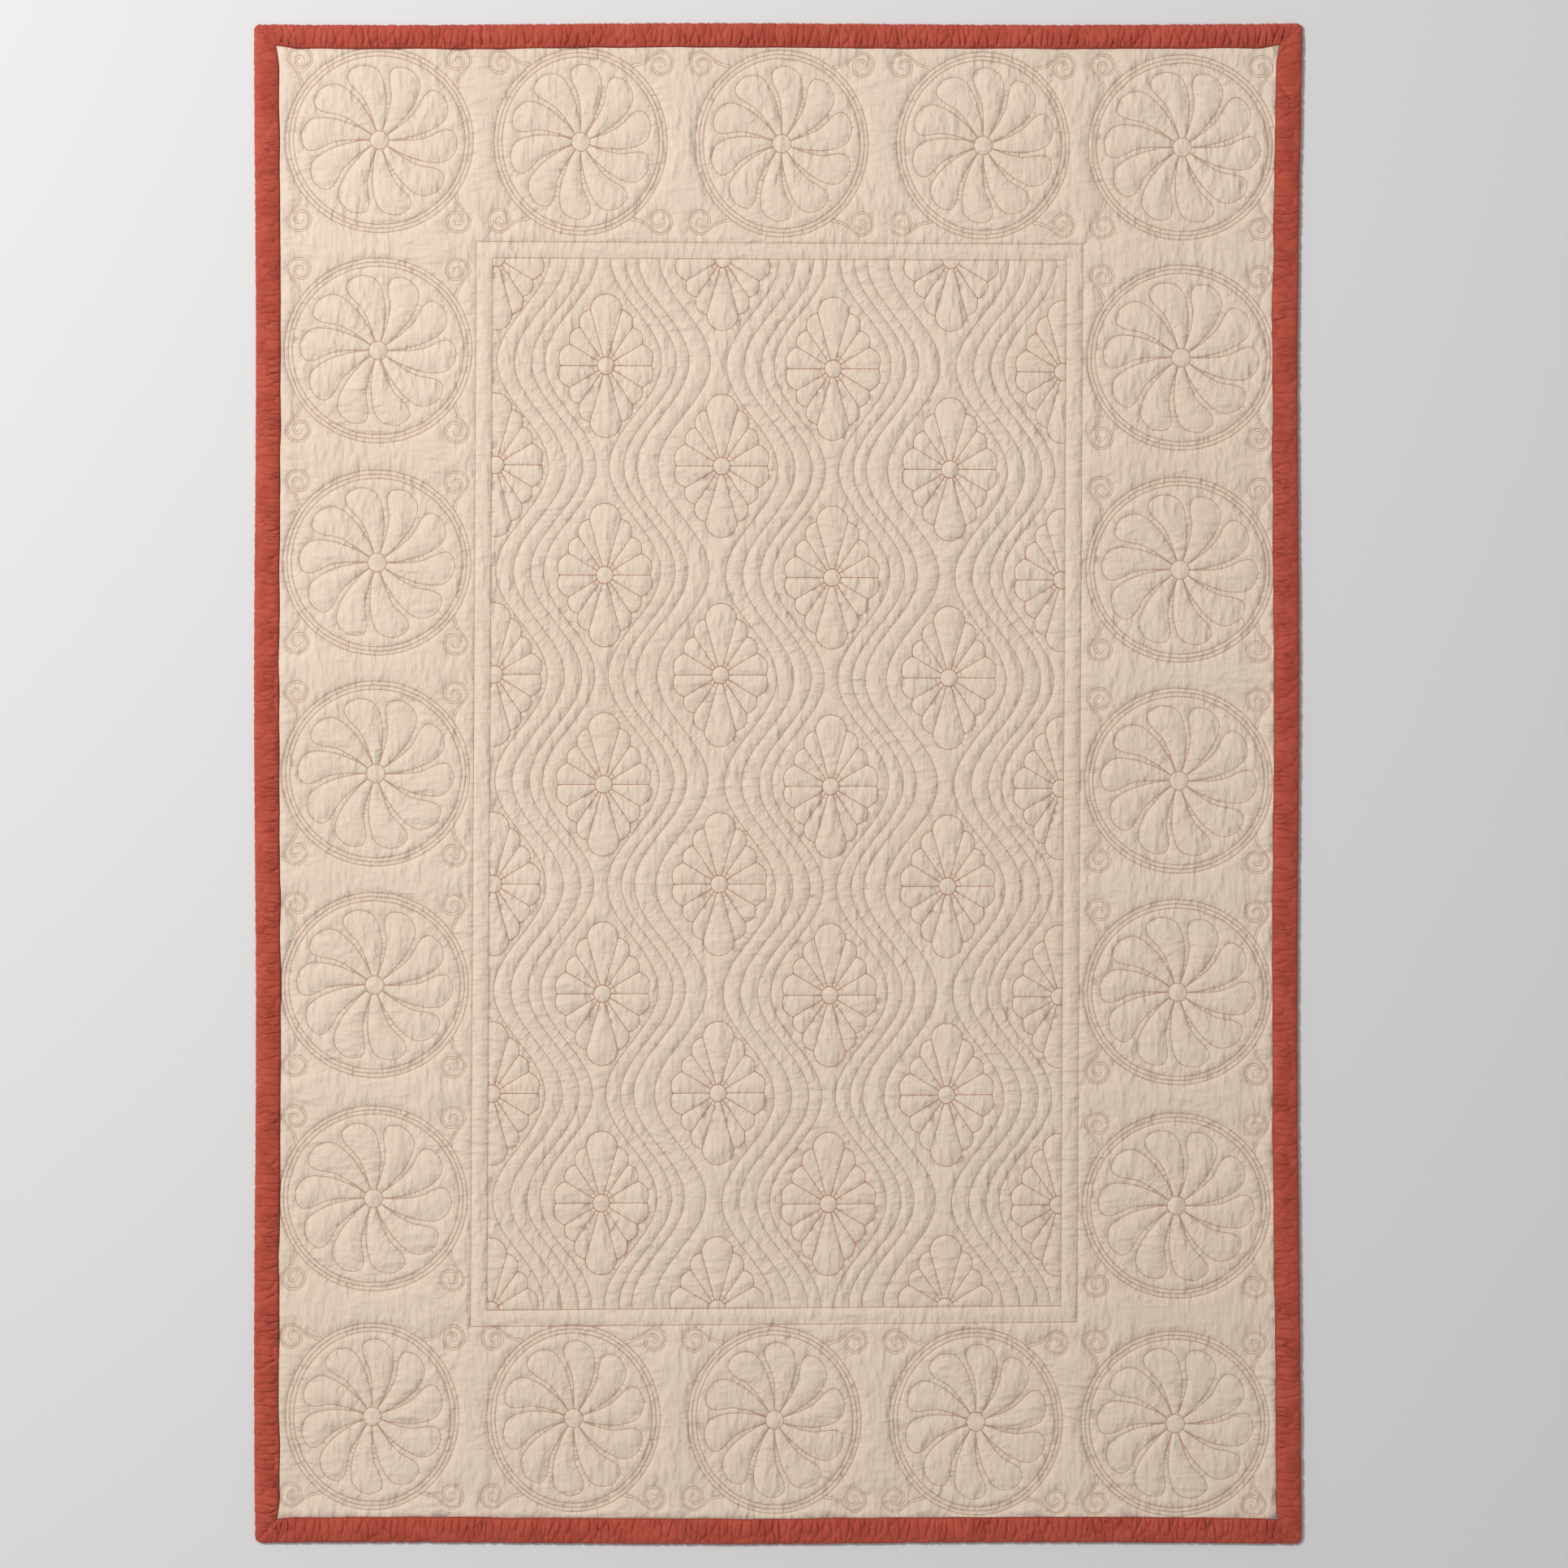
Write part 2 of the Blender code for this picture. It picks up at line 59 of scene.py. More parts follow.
# %% [markdown]
# ## Camera, light and floor
#
# The bedspread is seen from straight above, so the camera looks down the vertical axis from far enough away
# to flatten the perspective. A long lens does that. A soft lamp stands at the upper left and lights the cloth
# at a slant, which is what makes low relief show, and a pale even sky fills the shadows.

# %% Camera
FRAME_WIDTH = 2.685
LENS_MM = 85.0
SENSOR_MM = 36.0
CAMERA_CENTRE = (0.0097, -0.0007)


def add_object(name, data):
    """A new object in the scene."""
    piece = bpy.data.objects.new(name, data)
    bpy.context.scene.collection.objects.link(piece)
    return piece


camera_data = bpy.data.cameras.new("camera")
camera_data.lens = LENS_MM
camera_data.sensor_width = SENSOR_MM
camera = add_object("camera", camera_data)
camera.location = (*CAMERA_CENTRE, FRAME_WIDTH * LENS_MM / SENSOR_MM)
bpy.context.scene.camera = camera
print("camera height", round(camera.location.z, 3), "m")

# %% Lamp and sky
LAMP_PLACE = Vector((-4.8, 3.1, 6.3))
LAMP_SIZE = 1.8
LAMP_POWER = 550.0
SKY_STRENGTH = 0.38

lamp_data = bpy.data.lights.new("lamp", "AREA")
lamp_data.shape = "SQUARE"
lamp_data.size = LAMP_SIZE
lamp_data.energy = LAMP_POWER
lamp = add_object("lamp", lamp_data)
lamp.location = LAMP_PLACE
lamp.rotation_euler = (-LAMP_PLACE).to_track_quat("-Z", "Y").to_euler()

world = bpy.data.worlds.new("sky")
bpy.context.scene.world = world
world.use_nodes = True
background = world.node_tree.nodes["Background"].inputs
background["Color"].default_value = (1.0, 1.0, 1.0, 1.0)
background["Strength"].default_value = SKY_STRENGTH
bpy.context.scene.view_settings.view_transform = "Standard"

# %% [markdown]
# ## Writing shader and geometry nodes as sums
#
# A node tree is easier to read as arithmetic. `Wire` wraps one output socket, and its operators add Math
# nodes, so `1 - mask` or `2 * height` means what it says. `Tree.add` makes any other node from its type,
# its settings and the values or wires of its sockets.

# %% Wires and trees
class Wire:
    def __init__(self, tree, node, out=0):
        self.tree = tree
        self.node = node
        self.socket = node.outputs[out] if node.outputs else None

    def out(self, name):
        return Wire(self.tree, self.node, name)

    def math(self, operation, *others):
        values = dict(enumerate((self, *others)))
        return self.tree.add("ShaderNodeMath", {"operation": operation}, values)

    def __add__(self, other):
        return self.math("ADD", other)

    def __mul__(self, other):
        return self.math("MULTIPLY", other)

    def __sub__(self, other):
        return self.math("SUBTRACT", other)

    def __rsub__(self, other):
        return self * -1 + other

    def __truediv__(self, other):
        return self.math("DIVIDE", other)

    def __rtruediv__(self, other):
        return self.tree.add("ShaderNodeMath", {"operation": "DIVIDE"}, {0: other, 1: self})

    __radd__ = __add__
    __rmul__ = __mul__

    def most(self, other):
        return self.math("MAXIMUM", other)

    def rise(self, low, high):
        """0 below low, 1 above high, and smooth between them."""
        values = {"Value": self, "From Min": low, "From Max": high}
        return self.tree.add("ShaderNodeMapRange", {"interpolation_type": "SMOOTHSTEP"}, values)


class Tree:
    def __init__(self, node_tree):
        self.tree = node_tree

    def add(self, kind, settings=None, values=None, out=0):
        node = self.tree.nodes.new(kind)
        for name, value in (settings or {}).items():
            setattr(node, name, value)
        for name, value in (values or {}).items():
            self.plug(value, node.inputs[name])
        return Wire(self, node, out)

    def plug(self, value, socket):
        if isinstance(value, Wire):
            self.tree.links.new(value.socket, socket)
        else:
            socket.default_value = value

    def add_output(self, wire):
        self.add("NodeGroupOutput", None, {"Geometry": wire})

# %% [markdown]
# ## Marking out the pattern
#
# A quilter draws the pattern on the cloth before stitching, with a plate for wheels and a template for
# flowers. The same is done here: each motif is a function that returns its lines in millimetres, and every
# line is spaced into points that the cloth, the thread and the shader all share.
#
# The marking out was done by hand, so rows and columns lean a little. The edges of the cloth wander too.

# %% Sizes of the whole
WIDTH = 1786.0
LENGTH = 2600.0
BINDING = {"left": 39.0, "right": 40.0, "top": 37.5, "bottom": 42.0}
GAP = 0.4
# How far the panel runs on under the roll of the binding, so that no gap shows between them
TUCK = 1.6
PANEL = {"left": -WIDTH / 2 + BINDING["left"] + GAP, "right": WIDTH / 2 - BINDING["right"] - GAP,
         "bottom": -LENGTH / 2 + BINDING["bottom"] + GAP, "top": LENGTH / 2 - BINDING["top"] - GAP}
EDGE_WANDER = 1.6
EDGE_WAVE = 1150.0
EDGE_PHASES = (0.7, 2.1)
RIGHT_FLARE = 6.0
FLARE_POWER = 4
LEAN_X = 0.0056
BORDER_TILT = 0.009
FIELD_TILT = -0.0015
FIELD_TILT_CHANGE = 0.006
FIELD_HALF_WIDTH = 491.0
FIELD_HALF_LENGTH = 897.4


def lean(point, tilt=BORDER_TILT):
    u, v = point
    return u + LEAN_X * v, v - tilt * u


def field_place(point):
    return lean(point, FIELD_TILT + FIELD_TILT_CHANGE * point[1] / FIELD_HALF_LENGTH)


def wander(point):
    """The edges wander slowly, and the right-hand edge flares out at both its corners."""
    x, y = point
    along = math.tau / EDGE_WAVE
    flare = RIGHT_FLARE * max(0.0, x / (WIDTH / 2)) * (abs(y) / (LENGTH / 2)) ** FLARE_POWER
    dx = EDGE_WANDER * math.sin(along * y + EDGE_PHASES[0]) * (x / (WIDTH / 2)) + flare
    dy = EDGE_WANDER * math.sin(along * x + EDGE_PHASES[1]) * (y / (LENGTH / 2))
    return x + dx, y + dy

# %% Curves and spacing
def polar(radius, degrees):
    angle = math.radians(degrees)
    return radius * math.cos(angle), radius * math.sin(angle)


def curve_through(points, steps=10):
    """A smooth curve through some points, each span bent by its neighbours."""
    path = np.array([points[0], *points, points[-1]], float)
    curve = []
    for p0, p1, p2, p3 in zip(path, path[1:], path[2:], path[3:]):
        for share in np.arange(steps) / steps:
            bend = 2 * p0 - 5 * p1 + 4 * p2 - p3
            twist = 3 * p1 - p0 - 3 * p2 + p3
            curve.append(tuple(p1 + share / 2 * (p2 - p0 + share * (bend + share * twist))))
    return curve + [tuple(points[-1])]


def arc(radius, start, end, centre=(0.0, 0.0), steps=24):
    angles = [start + (end - start) * index / steps for index in range(steps + 1)]
    return [(centre[0] + x, centre[1] + y) for x, y in (polar(radius, angle) for angle in angles)]


def spaced(points, step):
    """The same line with its points evenly spaced, and both ends kept."""
    path = np.array(points, float)
    reach = np.concatenate(([0.0], np.cumsum(np.hypot(*np.diff(path, axis=0).T))))
    count = max(1, round(reach[-1] / step))
    places = np.linspace(0.0, reach[-1], count + 1)
    return list(zip(np.interp(places, reach, path[:, 0]), np.interp(places, reach, path[:, 1])))

# %% [markdown]
# ### Wheels
#
# A wheel is three rings round ten petals that all lean the same way round. The petals grow from a small
# round hub. One petal is a table of points of its two edges, read off the photo as angles from its own
# middle, and the other nine are the same table turned. Down the sides the wheels stand one way, and along
# the ends they are turned a quarter.

# %% Wheels
# The middles of the wheels, measured on the photo and averaged over each column and each row
COLUMNS_ACROSS = (-686.0, -341.5, 2.5, 347.0, 688.0)
ROWS_UP = (1095.0, 735.0, 372.0, 11.0, -351.0, -716.0, -1089.0)
# Half the width and half the height of the outer ring, down the sides and along the ends
RING_SIDE = (161.0, 158.5)
RING_END = (148.5, 160.0)
RING_GAP = 7.2
RINGS = 3
RING_STEP = 12.0
PETAL_ROUND = 160.0
PETALS = 10
PETAL_TURN = 18.0
PETAL_STEP = 8.0
HUB_RADIUS = 16.3
HUB_STEP = 5.3
# A row for each point of a petal: its distance from the hub's middle, and its angle from the petal's middle
PETAL_EDGE = (
    {"radius": 16.3, "angle": -18.0},
    {"radius": 42.0, "angle": -13.5},
    {"radius": 76.5, "angle": -8.4},
    {"radius": 104.0, "angle": -3.5},
    {"radius": 120.0, "angle": 1.0},
    {"radius": 128.5, "angle": 7.0},
    {"radius": 133.0, "angle": 15.0},
    {"radius": 129.0, "angle": 23.5},
    {"radius": 120.0, "angle": 27.2},
    {"radius": 104.0, "angle": 26.8},
    {"radius": 76.5, "angle": 20.8},
    {"radius": 42.0, "angle": 17.5},
    {"radius": 16.3, "angle": 18.0},
)


def wheel_places():
    """The middle of each border wheel, and whether it is turned a quarter."""
    for row, v in enumerate(ROWS_UP):
        for column, u in enumerate(COLUMNS_ACROSS):
            on_side = column in (0, len(COLUMNS_ACROSS) - 1)
            on_end = row in (0, len(ROWS_UP) - 1)
            if on_side or on_end:
                yield u, v, not on_side or (row == len(ROWS_UP) - 1 and column == 0)


def ring_lines(turned):
    half_width, half_height = RING_END if turned else RING_SIDE
    lines = []
    for index in range(RINGS):
        inset = index * RING_GAP
        ring = [(x * (half_width - inset), y * (half_height - inset)) for x, y in arc(1.0, 0, 360, steps=96)]
        lines.append(spaced(ring, RING_STEP))
    return lines


def petal_lines(turned):
    half_width, half_height = RING_END if turned else RING_SIDE
    lines = [spaced(arc(HUB_RADIUS, 0, 360, steps=20), HUB_STEP)]
    for index in range(PETALS):
        middle = (90.0 if turned else 0.0) + PETAL_TURN + 360 * index / PETALS
        edge = curve_through([polar(row["radius"], middle + row["angle"]) for row in PETAL_EDGE])
        oval = [(x * half_width / PETAL_ROUND, y * half_height / PETAL_ROUND) for x, y in edge]
        lines.append(spaced(oval, PETAL_STEP))
    return lines

# %% [markdown]
# ### Scrolls
#
# Two lines leave the outer ring side by side near each quarter of a wheel, and curl up together. Here both
# follow one enlarged scroll of the photo, point by point: a short lead-in, then the radius at each eighth of
# a turn. A spiral worked out from two or three sizes would be the better way, because a pattern is followed
# and not traced.

# %% Scrolls
SCROLL_CENTRE = (136.5, 138.0)
SCROLL_STEP = 4.8
SCROLL_ROOM = 3.0
# Each line of the upper left-hand scroll, from the scroll's middle: the points that lead in from the ring,
# then the radius at each eighth of a turn, clockwise from the left
SCROLL_LINES = (
    {"lead": ((9.0, -60.0), (2.6, -49.6), (0.0, -35.7), (-5.0, -25.8), (-12.9, -15.9), (-18.9, -7.0)),
     "radii": (21.5, 20.8, 20.3, 21.3, 22.1, 20.8, 17.2, 12.2, 8.6, 7.3, 6.8, 7.0, 7.0)},
    {"lead": ((13.0, -56.0), (7.0, -45.7), (4.6, -36.7), (0.0, -25.8), (-7.9, -16.9), (-14.9, -7.9)),
     "radii": (17.6, 16.9, 16.4, 17.4, 18.0, 16.6, 12.6, 7.8, 4.3, 2.2)},
)


def outside_ring(point, oval):
    return math.hypot(point[0] / oval[0], point[1] / oval[1]) > 1


def scroll_lines(turned):
    """Both lines of one scroll, in the four quarters of a wheel."""
    oval = RING_END[::-1] if turned else RING_SIDE
    lines = []
    for row in SCROLL_LINES:
        curl = [polar(radius, 180 - 45 * index) for index, radius in enumerate(row["radii"])]
        points = [(x - SCROLL_CENTRE[0], y + SCROLL_CENTRE[1]) for x, y in list(row["lead"]) + curl]
        line = [point for point in curve_through(points) if outside_ring(point, oval)]
        line = spaced(line, SCROLL_STEP)
        for side in (-1, 1):
            for end in (-1, 1):
                moved = [(side * x, end * y) for x, y in line]
                lines.append([(y, x) for x, y in moved] if turned else moved)
    return lines


def kept_inside(point):
    """Draws a point in where it would run under the binding."""
    x, y = point
    return (min(max(x, PANEL["left"] + SCROLL_ROOM), PANEL["right"] - SCROLL_ROOM),
            min(max(y, PANEL["bottom"] + SCROLL_ROOM), PANEL["top"] - SCROLL_ROOM))

# %% [markdown]
# ### Flowers, waves and the frame
#
# The middle is filled with long flowers in staggered columns. Straight spokes run from a flower's hub to
# the notches of its edge, and a shallow arc joins each notch to the next. Four wavy lines fill each gap
# between two columns, swinging out round the flowers. A frame of two straight lines holds the whole field,
# and whatever crosses it is left out.

# %% Flowers
FLOWER_PITCH = (196.4, 357.5)
SHORTEST = 3.0
STAGGER_LIFT = 5.0
FLOWER_HUB = 15.0
FLOWER_STEP = 8.0
ARC_SAG = 0.25
END_RADIUS = 27.0
# A row for each notch of a quarter of a flower, from its middle: across, then up
FLOWER_NOTCHES = (
    {"across": 78.0, "up": 0.0},
    {"across": 62.0, "up": 37.3},
    {"across": 44.9, "up": 65.7},
    {"across": 27.0, "up": 95.8},
)


def shallow_arc(first, second, sag=ARC_SAG, steps=8):
    """An arc from one notch to the next, bulging away from the flower's middle."""
    first, second = np.array(first), np.array(second)
    chord = second - first
    out = np.array((chord[1], -chord[0]))
    if out @ (first + second) < 0:
        out = -out
    shares = np.arange(steps + 1) / steps
    return [tuple(first + share * chord + 4 * sag * share * (1 - share) * out) for share in shares]


def quarter_arc(centre, radius, side, end):
    return [(centre[0] + side * x, centre[1] + end * y) for x, y in arc(radius, 0, 90, steps=12)]


def flower_lines():
    """Every line of a flower as a separate stretch, so that a stretch outside the frame can be left out."""
    quarter = [(row["across"], row["up"]) for row in FLOWER_NOTCHES]
    lines = []
    for side in (-1, 1):
        for end in (-1, 1):
            notches = [(side * x, end * y) for x, y in quarter]
            lines += [shallow_arc(first, second) for first, second in zip(notches, notches[1:])]
            lines.append(quarter_arc((0.0, end * quarter[-1][1]), END_RADIUS, side, end))
            lines.append(quarter_arc((0.0, 0.0), FLOWER_HUB, side, end))
            spokes = notches if end > 0 else notches[1:]
            lines += [[(x * FLOWER_HUB / math.hypot(x, y), y * FLOWER_HUB / math.hypot(x, y)), (x, y)]
                      for x, y in spokes]
    return lines


# How many flowers a column holds
FLOWER_COUNTS = {"staggered": 6, "plain": 5}
# A row for each column of flowers: how far it is set off to the right and up, as an average over the column
FLOWER_COLUMNS = (
    {"shift": 7.0, "lift": 3.0},
    {"shift": -1.5, "lift": -1.0},
    {"shift": 1.0, "lift": 2.0},
    {"shift": -5.5, "lift": -5.0},
    {"shift": -1.0, "lift": -3.0},
    {"shift": -5.0, "lift": -9.0},
)


def flower_places():
    for column, offset in enumerate(FLOWER_COLUMNS):
        u = (column - (len(FLOWER_COLUMNS) - 1) / 2) * FLOWER_PITCH[0] + offset["shift"]
        staggered = column % 2 == 0
        count = FLOWER_COUNTS["staggered" if staggered else "plain"]
        for row in range(count):
            v = ((count - 1) / 2 - row) * FLOWER_PITCH[1] + offset["lift"]
            if staggered and row in (0, count - 1):
                v = math.copysign(FIELD_HALF_LENGTH, v)
            elif staggered:
                v += STAGGER_LIFT
            yield u, v


def room(point):
    """How far inside the frame a point lies, and less than nothing outside it."""
    return min(FIELD_HALF_WIDTH - abs(point[0]), FIELD_HALF_LENGTH - abs(point[1]))


def clipped(line):
    """The stretch of a line that lies inside the frame."""
    kept = []
    for first, second in zip(line, line[1:]):
        if room(first) >= 0:
            kept.append(first)
        if (room(first) < 0) != (room(second) < 0):
            share = room(first) / (room(first) - room(second))
            kept.append(tuple(np.array(first) + share * (np.array(second) - first)))
    if room(line[-1]) >= 0:
        kept.append(line[-1])
    long_enough = len(kept) > 1 and math.dist(kept[0], kept[-1]) > SHORTEST
    return kept if long_enough else []

# %% Waves and frame
FRAME_BAND = 28.0
STRAIGHT_STEP = 12.0
# The wavy lines of the odd and of the even gaps, from the column of flowers to their left
WAVE_OFFSETS = ((53.0, 82.5, 112.0, 134.5), (49.5, 74.5, 96.5, 133.0))
WAVE_SWING = 44.5
WAVE_LIFTS = (6.0, 6.0, 0.0, 0.0, -3.0)
WAVE_POINTS = 300


def wave_lines():
    lines = []
    for gap, lift in enumerate(WAVE_LIFTS):
        axis = (gap - (len(FLOWER_COLUMNS) - 1) / 2) * FLOWER_PITCH[0]
        sign = -1 if gap % 2 == 0 else 1
        for offset in WAVE_OFFSETS[gap % 2]:
            line = []
            for v in np.linspace(FIELD_HALF_LENGTH, -FIELD_HALF_LENGTH, WAVE_POINTS):
                swing = sign * WAVE_SWING * math.cos(math.tau * (v - lift) / FLOWER_PITCH[1])
                line.append(field_place((axis + offset + swing, v)))
            lines.append(spaced(line, STRAIGHT_STEP))
    return lines


def rectangle(left, right, bottom, top, step, bend):
    """A closed line round a rectangle, counter-clockwise, with every point passed through bend."""
    corners = [(left, bottom), (right, bottom), (right, top), (left, top), (left, bottom)]
    line = []
    for first, second in zip(corners, corners[1:]):
        line += spaced([first, second], step)[:-1]
    return [bend(point) for point in line + line[:1]]


def frame_lines():
    lines = []
    for outset in (0.0, FRAME_BAND):
        half_u, half_v = FIELD_HALF_WIDTH + outset, FIELD_HALF_LENGTH + outset
        lines.append(rectangle(-half_u, half_u, -half_v, half_v, STRAIGHT_STEP, field_place))
    return lines

# %% All the lines, grouped by the kind of quilting
def placed(line, u, v, place):
    return [place((u + x, v + y)) for x, y in line]


seams = {"rings": [], "petals": [], "scrolls": [], "flowers": [], "waves": wave_lines() + frame_lines()}
for u, v, turned in wheel_places():
    seams["rings"] += [placed(line, u, v, lean) for line in ring_lines(turned)]
    seams["petals"] += [placed(line, u, v, lean) for line in petal_lines(turned)]
    scrolls = [placed(line, u, v, lean) for line in scroll_lines(turned)]
    seams["scrolls"] += [[kept_inside(point) for point in line] for line in scrolls]
for u, v in flower_places():
    for line in flower_lines():
        inner = clipped([(u + x, v + y) for x, y in line])
        if inner:
            seams["flowers"].append([field_place(point) for point in spaced(inner, FLOWER_STEP)])
for kind, lines in seams.items():
    metres = sum(math.dist(a, b) for line in lines for a, b in zip(line, line[1:])) * MM
    print(kind, len(lines), "lines,", round(metres, 1), "m of stitching")

# %% [markdown]
# ## The quilted panel
#
# The cloth has to crease exactly along the stitching, so the pattern's lines become edges of the mesh. A
# constrained triangulation does that: it takes points and edges in the plane and fills the rest with
# triangles. Rows of points beside each line catch the steep edge of the groove, and wider rows and a loose
# fill carry the puffed ground. The back is made the same way, with wider spacing and less relief, because
# it lies pressed against whatever is under it. It doesn't show in the photo, so it is a guess: the grooves
# of the main seams, and no stitches.

# %% Outline and fit
EDGE_STEP = 12.0
low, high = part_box("quilted_panel")
edge = np.array(rectangle(*PANEL.values(), EDGE_STEP, wander))
SHIFT = (np.array((low + high).xy) / 2 - (edge.min(0) + edge.max(0)) / 2 * MM) / MM
outline = rectangle(PANEL["left"] - TUCK, PANEL["right"] + TUCK, PANEL["bottom"] - TUCK,
                    PANEL["top"] + TUCK, EDGE_STEP, wander)
print("pattern moved by", np.round(SHIFT, 2), "mm to lie in the frame")

# %% Search tree of every seam, with the direction in which it runs
TREE_STEP = 2.5


def seam_tree(lines, step=TREE_STEP):
    points = []
    angles = []
    owners = []
    for number, line in enumerate(lines):
        for first, second in zip(line, line[1:]):
            angle = math.atan2(second[1] - first[1], second[0] - first[0])
            for point in spaced([first, second], step):
                points.append(point)
                angles.append(angle)
                owners.append(number)
    tree = kdtree.KDTree(len(points))
    for index, (x, y) in enumerate(points):
        tree.insert((x, y, 0.0), index)
    tree.balance()
    return tree, np.array(angles), np.array(owners)


all_seams = [line for lines in seams.values() for line in lines]
tree, tree_angles, tree_owners = seam_tree(all_seams)
on_scroll = np.array([kind == "scrolls" for kind, lines in seams.items() for _ in lines])[tree_owners]
print(len(tree_angles), "points in the search tree,", on_scroll.sum(), "of them on scrolls")

# %% Points of the cloth
class Sower:
    """Takes points one by one, and turns away any that is too near one it has."""

    def __init__(self, cell):
        self.cell = cell
        self.taken = {}
        self.points = []

    def key(self, point):
        return int(point[0] // self.cell), int(point[1] // self.cell)

    def crowded(self, point, apart):
        column, row = self.key(point)
        reach = int(apart // self.cell) + 1
        for i in range(column - reach, column + reach + 1):
            for j in range(row - reach, row + reach + 1):
                for other in self.taken.get((i, j), ()):
                    if math.dist(point, other) < apart:
                        return True
        return False

    def sow(self, point, apart):
        if apart and self.crowded(point, apart):
            return
        self.taken.setdefault(self.key(point), []).append(point)
        self.points.append(point)


# A row for each run of points beside the seams: how far off, and how far apart they stay
FACE_ROWS = ({"off": 2.4, "apart": 4.8}, {"off": 7.0, "apart": 7.6}, {"off": 13.0, "apart": 11.0})
FACE_FILL = 14.0
CLEAR_SHARE = 0.82
ALONG_SHARE = 1.3
# Shares of the fill's spacing: from row to row, and how far its points keep from seams, rim and one another
FILL_SHARES = {"rows": 0.866, "seams": 0.6, "rim": 0.5, "points": 0.72}


def inside(x, y, clear):
    """True where a point lies further than clear inside the rim, whose wander is taken off first."""
    moved_x, moved_y = wander((x, y))
    u, v = 2 * x - moved_x, 2 * y - moved_y
    return PANEL["left"] + clear < u < PANEL["right"] - clear \
        and PANEL["bottom"] + clear < v < PANEL["top"] - clear


def cloth_points(rows, fill, cell=8.0):
    sower = Sower(cell)
    for row in rows:
        for line in all_seams:
            for first, second in zip(line, line[1:]):
                dx, dy = second[0] - first[0], second[1] - first[1]
                length = math.hypot(dx, dy)
                pieces = max(1, round(length / (ALONG_SHARE * row["apart"])))
                for index in range(pieces):
                    share = (index + 0.5) / pieces
                    for side in (-1, 1):
                        x = first[0] + share * dx - side * dy / length * row["off"]
                        y = first[1] + share * dy + side * dx / length * row["off"]
                        clear = row["off"] * CLEAR_SHARE
                        if tree.find((x, y, 0.0))[2] > clear and inside(x, y, clear):
                            sower.sow((x, y), row["apart"])
    across = np.arange(edge[:, 0].min(), edge[:, 0].max(), fill)
    up = np.arange(edge[:, 1].min(), edge[:, 1].max(), fill * FILL_SHARES["rows"])
    for index, y in enumerate(up):
        for x in across + (index % 2) * fill / 2:
            off_seams = tree.find((x, y, 0.0))[2] > fill * FILL_SHARES["seams"]
            if off_seams and inside(x, y, fill * FILL_SHARES["rim"]):
                sower.sow((x, y), fill * FILL_SHARES["points"])
    return sower.points


face_points = cloth_points(FACE_ROWS, FACE_FILL)
print(len(face_points), "points between the seams,", sum(map(len, all_seams)), "on them")

# %% Triangles of the cloth
MERGE_DISTANCE = 0.05


def triangulate(lines, loose):
    """A flat mesh whose edges follow the lines. The first line is the rim."""
    flat = []
    edges = []
    for line in lines:
        start = len(flat)
        flat += line
        edges += [(start + index, start + index + 1) for index in range(len(line) - 1)]
    on_lines = len(flat)
    flat = [Vector(point) for point in flat + loose]
    made = geometry.delaunay_2d_cdt(flat, edges, [], 1, MERGE_DISTANCE)
    rim = [0] * (len(lines[0]) - 1)
    free = np.zeros(len(made[0]), bool)
    for vert, sources in enumerate(made[3]):
        free[vert] = bool(sources) and min(sources) >= on_lines
        for index in sources:
            if index < len(rim):
                rim[index] = vert
    return {"flat": np.array([vert[:] for vert in made[0]]), "links": np.array(made[1]),
            "triangles": np.array(made[2]), "rim": np.array(rim), "free": free}


face = triangulate([outline] + all_seams, face_points)
print(len(face["flat"]), "vertices,", len(face["triangles"]), "triangles on the face")

# %% [markdown]
# Wadding springs back gradually beside a row of stitches. Each point is therefore tied to the average of its
# neighbours and drawn a little towards the full height, over and over, while the points on a seam are held
# down. The ground ends up smooth, round in the narrow channels and full in the wide ones.

# %% Heights of the face
SEAM_HEIGHT = 4.0
FULL_HEIGHT = 6.8
EDGE_HEIGHT = 6.6
SOFTNESS = 4.2
ROUNDS = 90
UNEVEN_SHARE = 0.16
UNEVEN_SCALE = 160.0


def neighbours(mesh):
    """Both ends of every edge, and how strongly each neighbour counts."""
    ends = np.concatenate((mesh["links"], mesh["links"][:, ::-1]))
    squares = ((mesh["flat"][ends[:, 0]] - mesh["flat"][ends[:, 1]]) ** 2).sum(1)
    return ends, 1 / squares


def averaged(ends, weight, values):
    total = np.bincount(ends[:, 0], weight, len(values))
    return np.bincount(ends[:, 0], weight * values[ends[:, 1]], len(values)) / total


def puffed(mesh, seam_height, full_height, edge_height):
    ends, weight = neighbours(mesh)
    count = len(mesh["flat"])
    held = np.full(count, seam_height)
    held[mesh["rim"]] = edge_height
    uneven = np.array([noise.noise(Vector((x, y, 0.0)) / UNEVEN_SCALE) for x, y in mesh["flat"]])
    full = seam_height + (full_height - seam_height) * (1 + UNEVEN_SHARE * uneven)
    spring = np.bincount(ends[:, 0], minlength=count) / np.bincount(ends[:, 0], weight, count)
    spring /= 4 * SOFTNESS ** 2
    height = held.copy()
    for _ in range(ROUNDS):
        pulled = (averaged(ends, weight, height) + spring * full) / (1 + spring)
        height = np.where(mesh["free"], pulled, held)
    return height


face["height"] = puffed(face, SEAM_HEIGHT, FULL_HEIGHT, EDGE_HEIGHT)
print("face", round(face["height"].min(), 2), "to", round(face["height"].max(), 2), "mm high")

# %% The back, coarser and pressed flat
BACK_ROWS = ({"off": 12.0, "apart": 16.0},)
BACK_FILL = 24.0
BACK_KEEP = 3
BACK_SEAM_HEIGHT = 0.9
BACK_EDGE_HEIGHT = 0.3


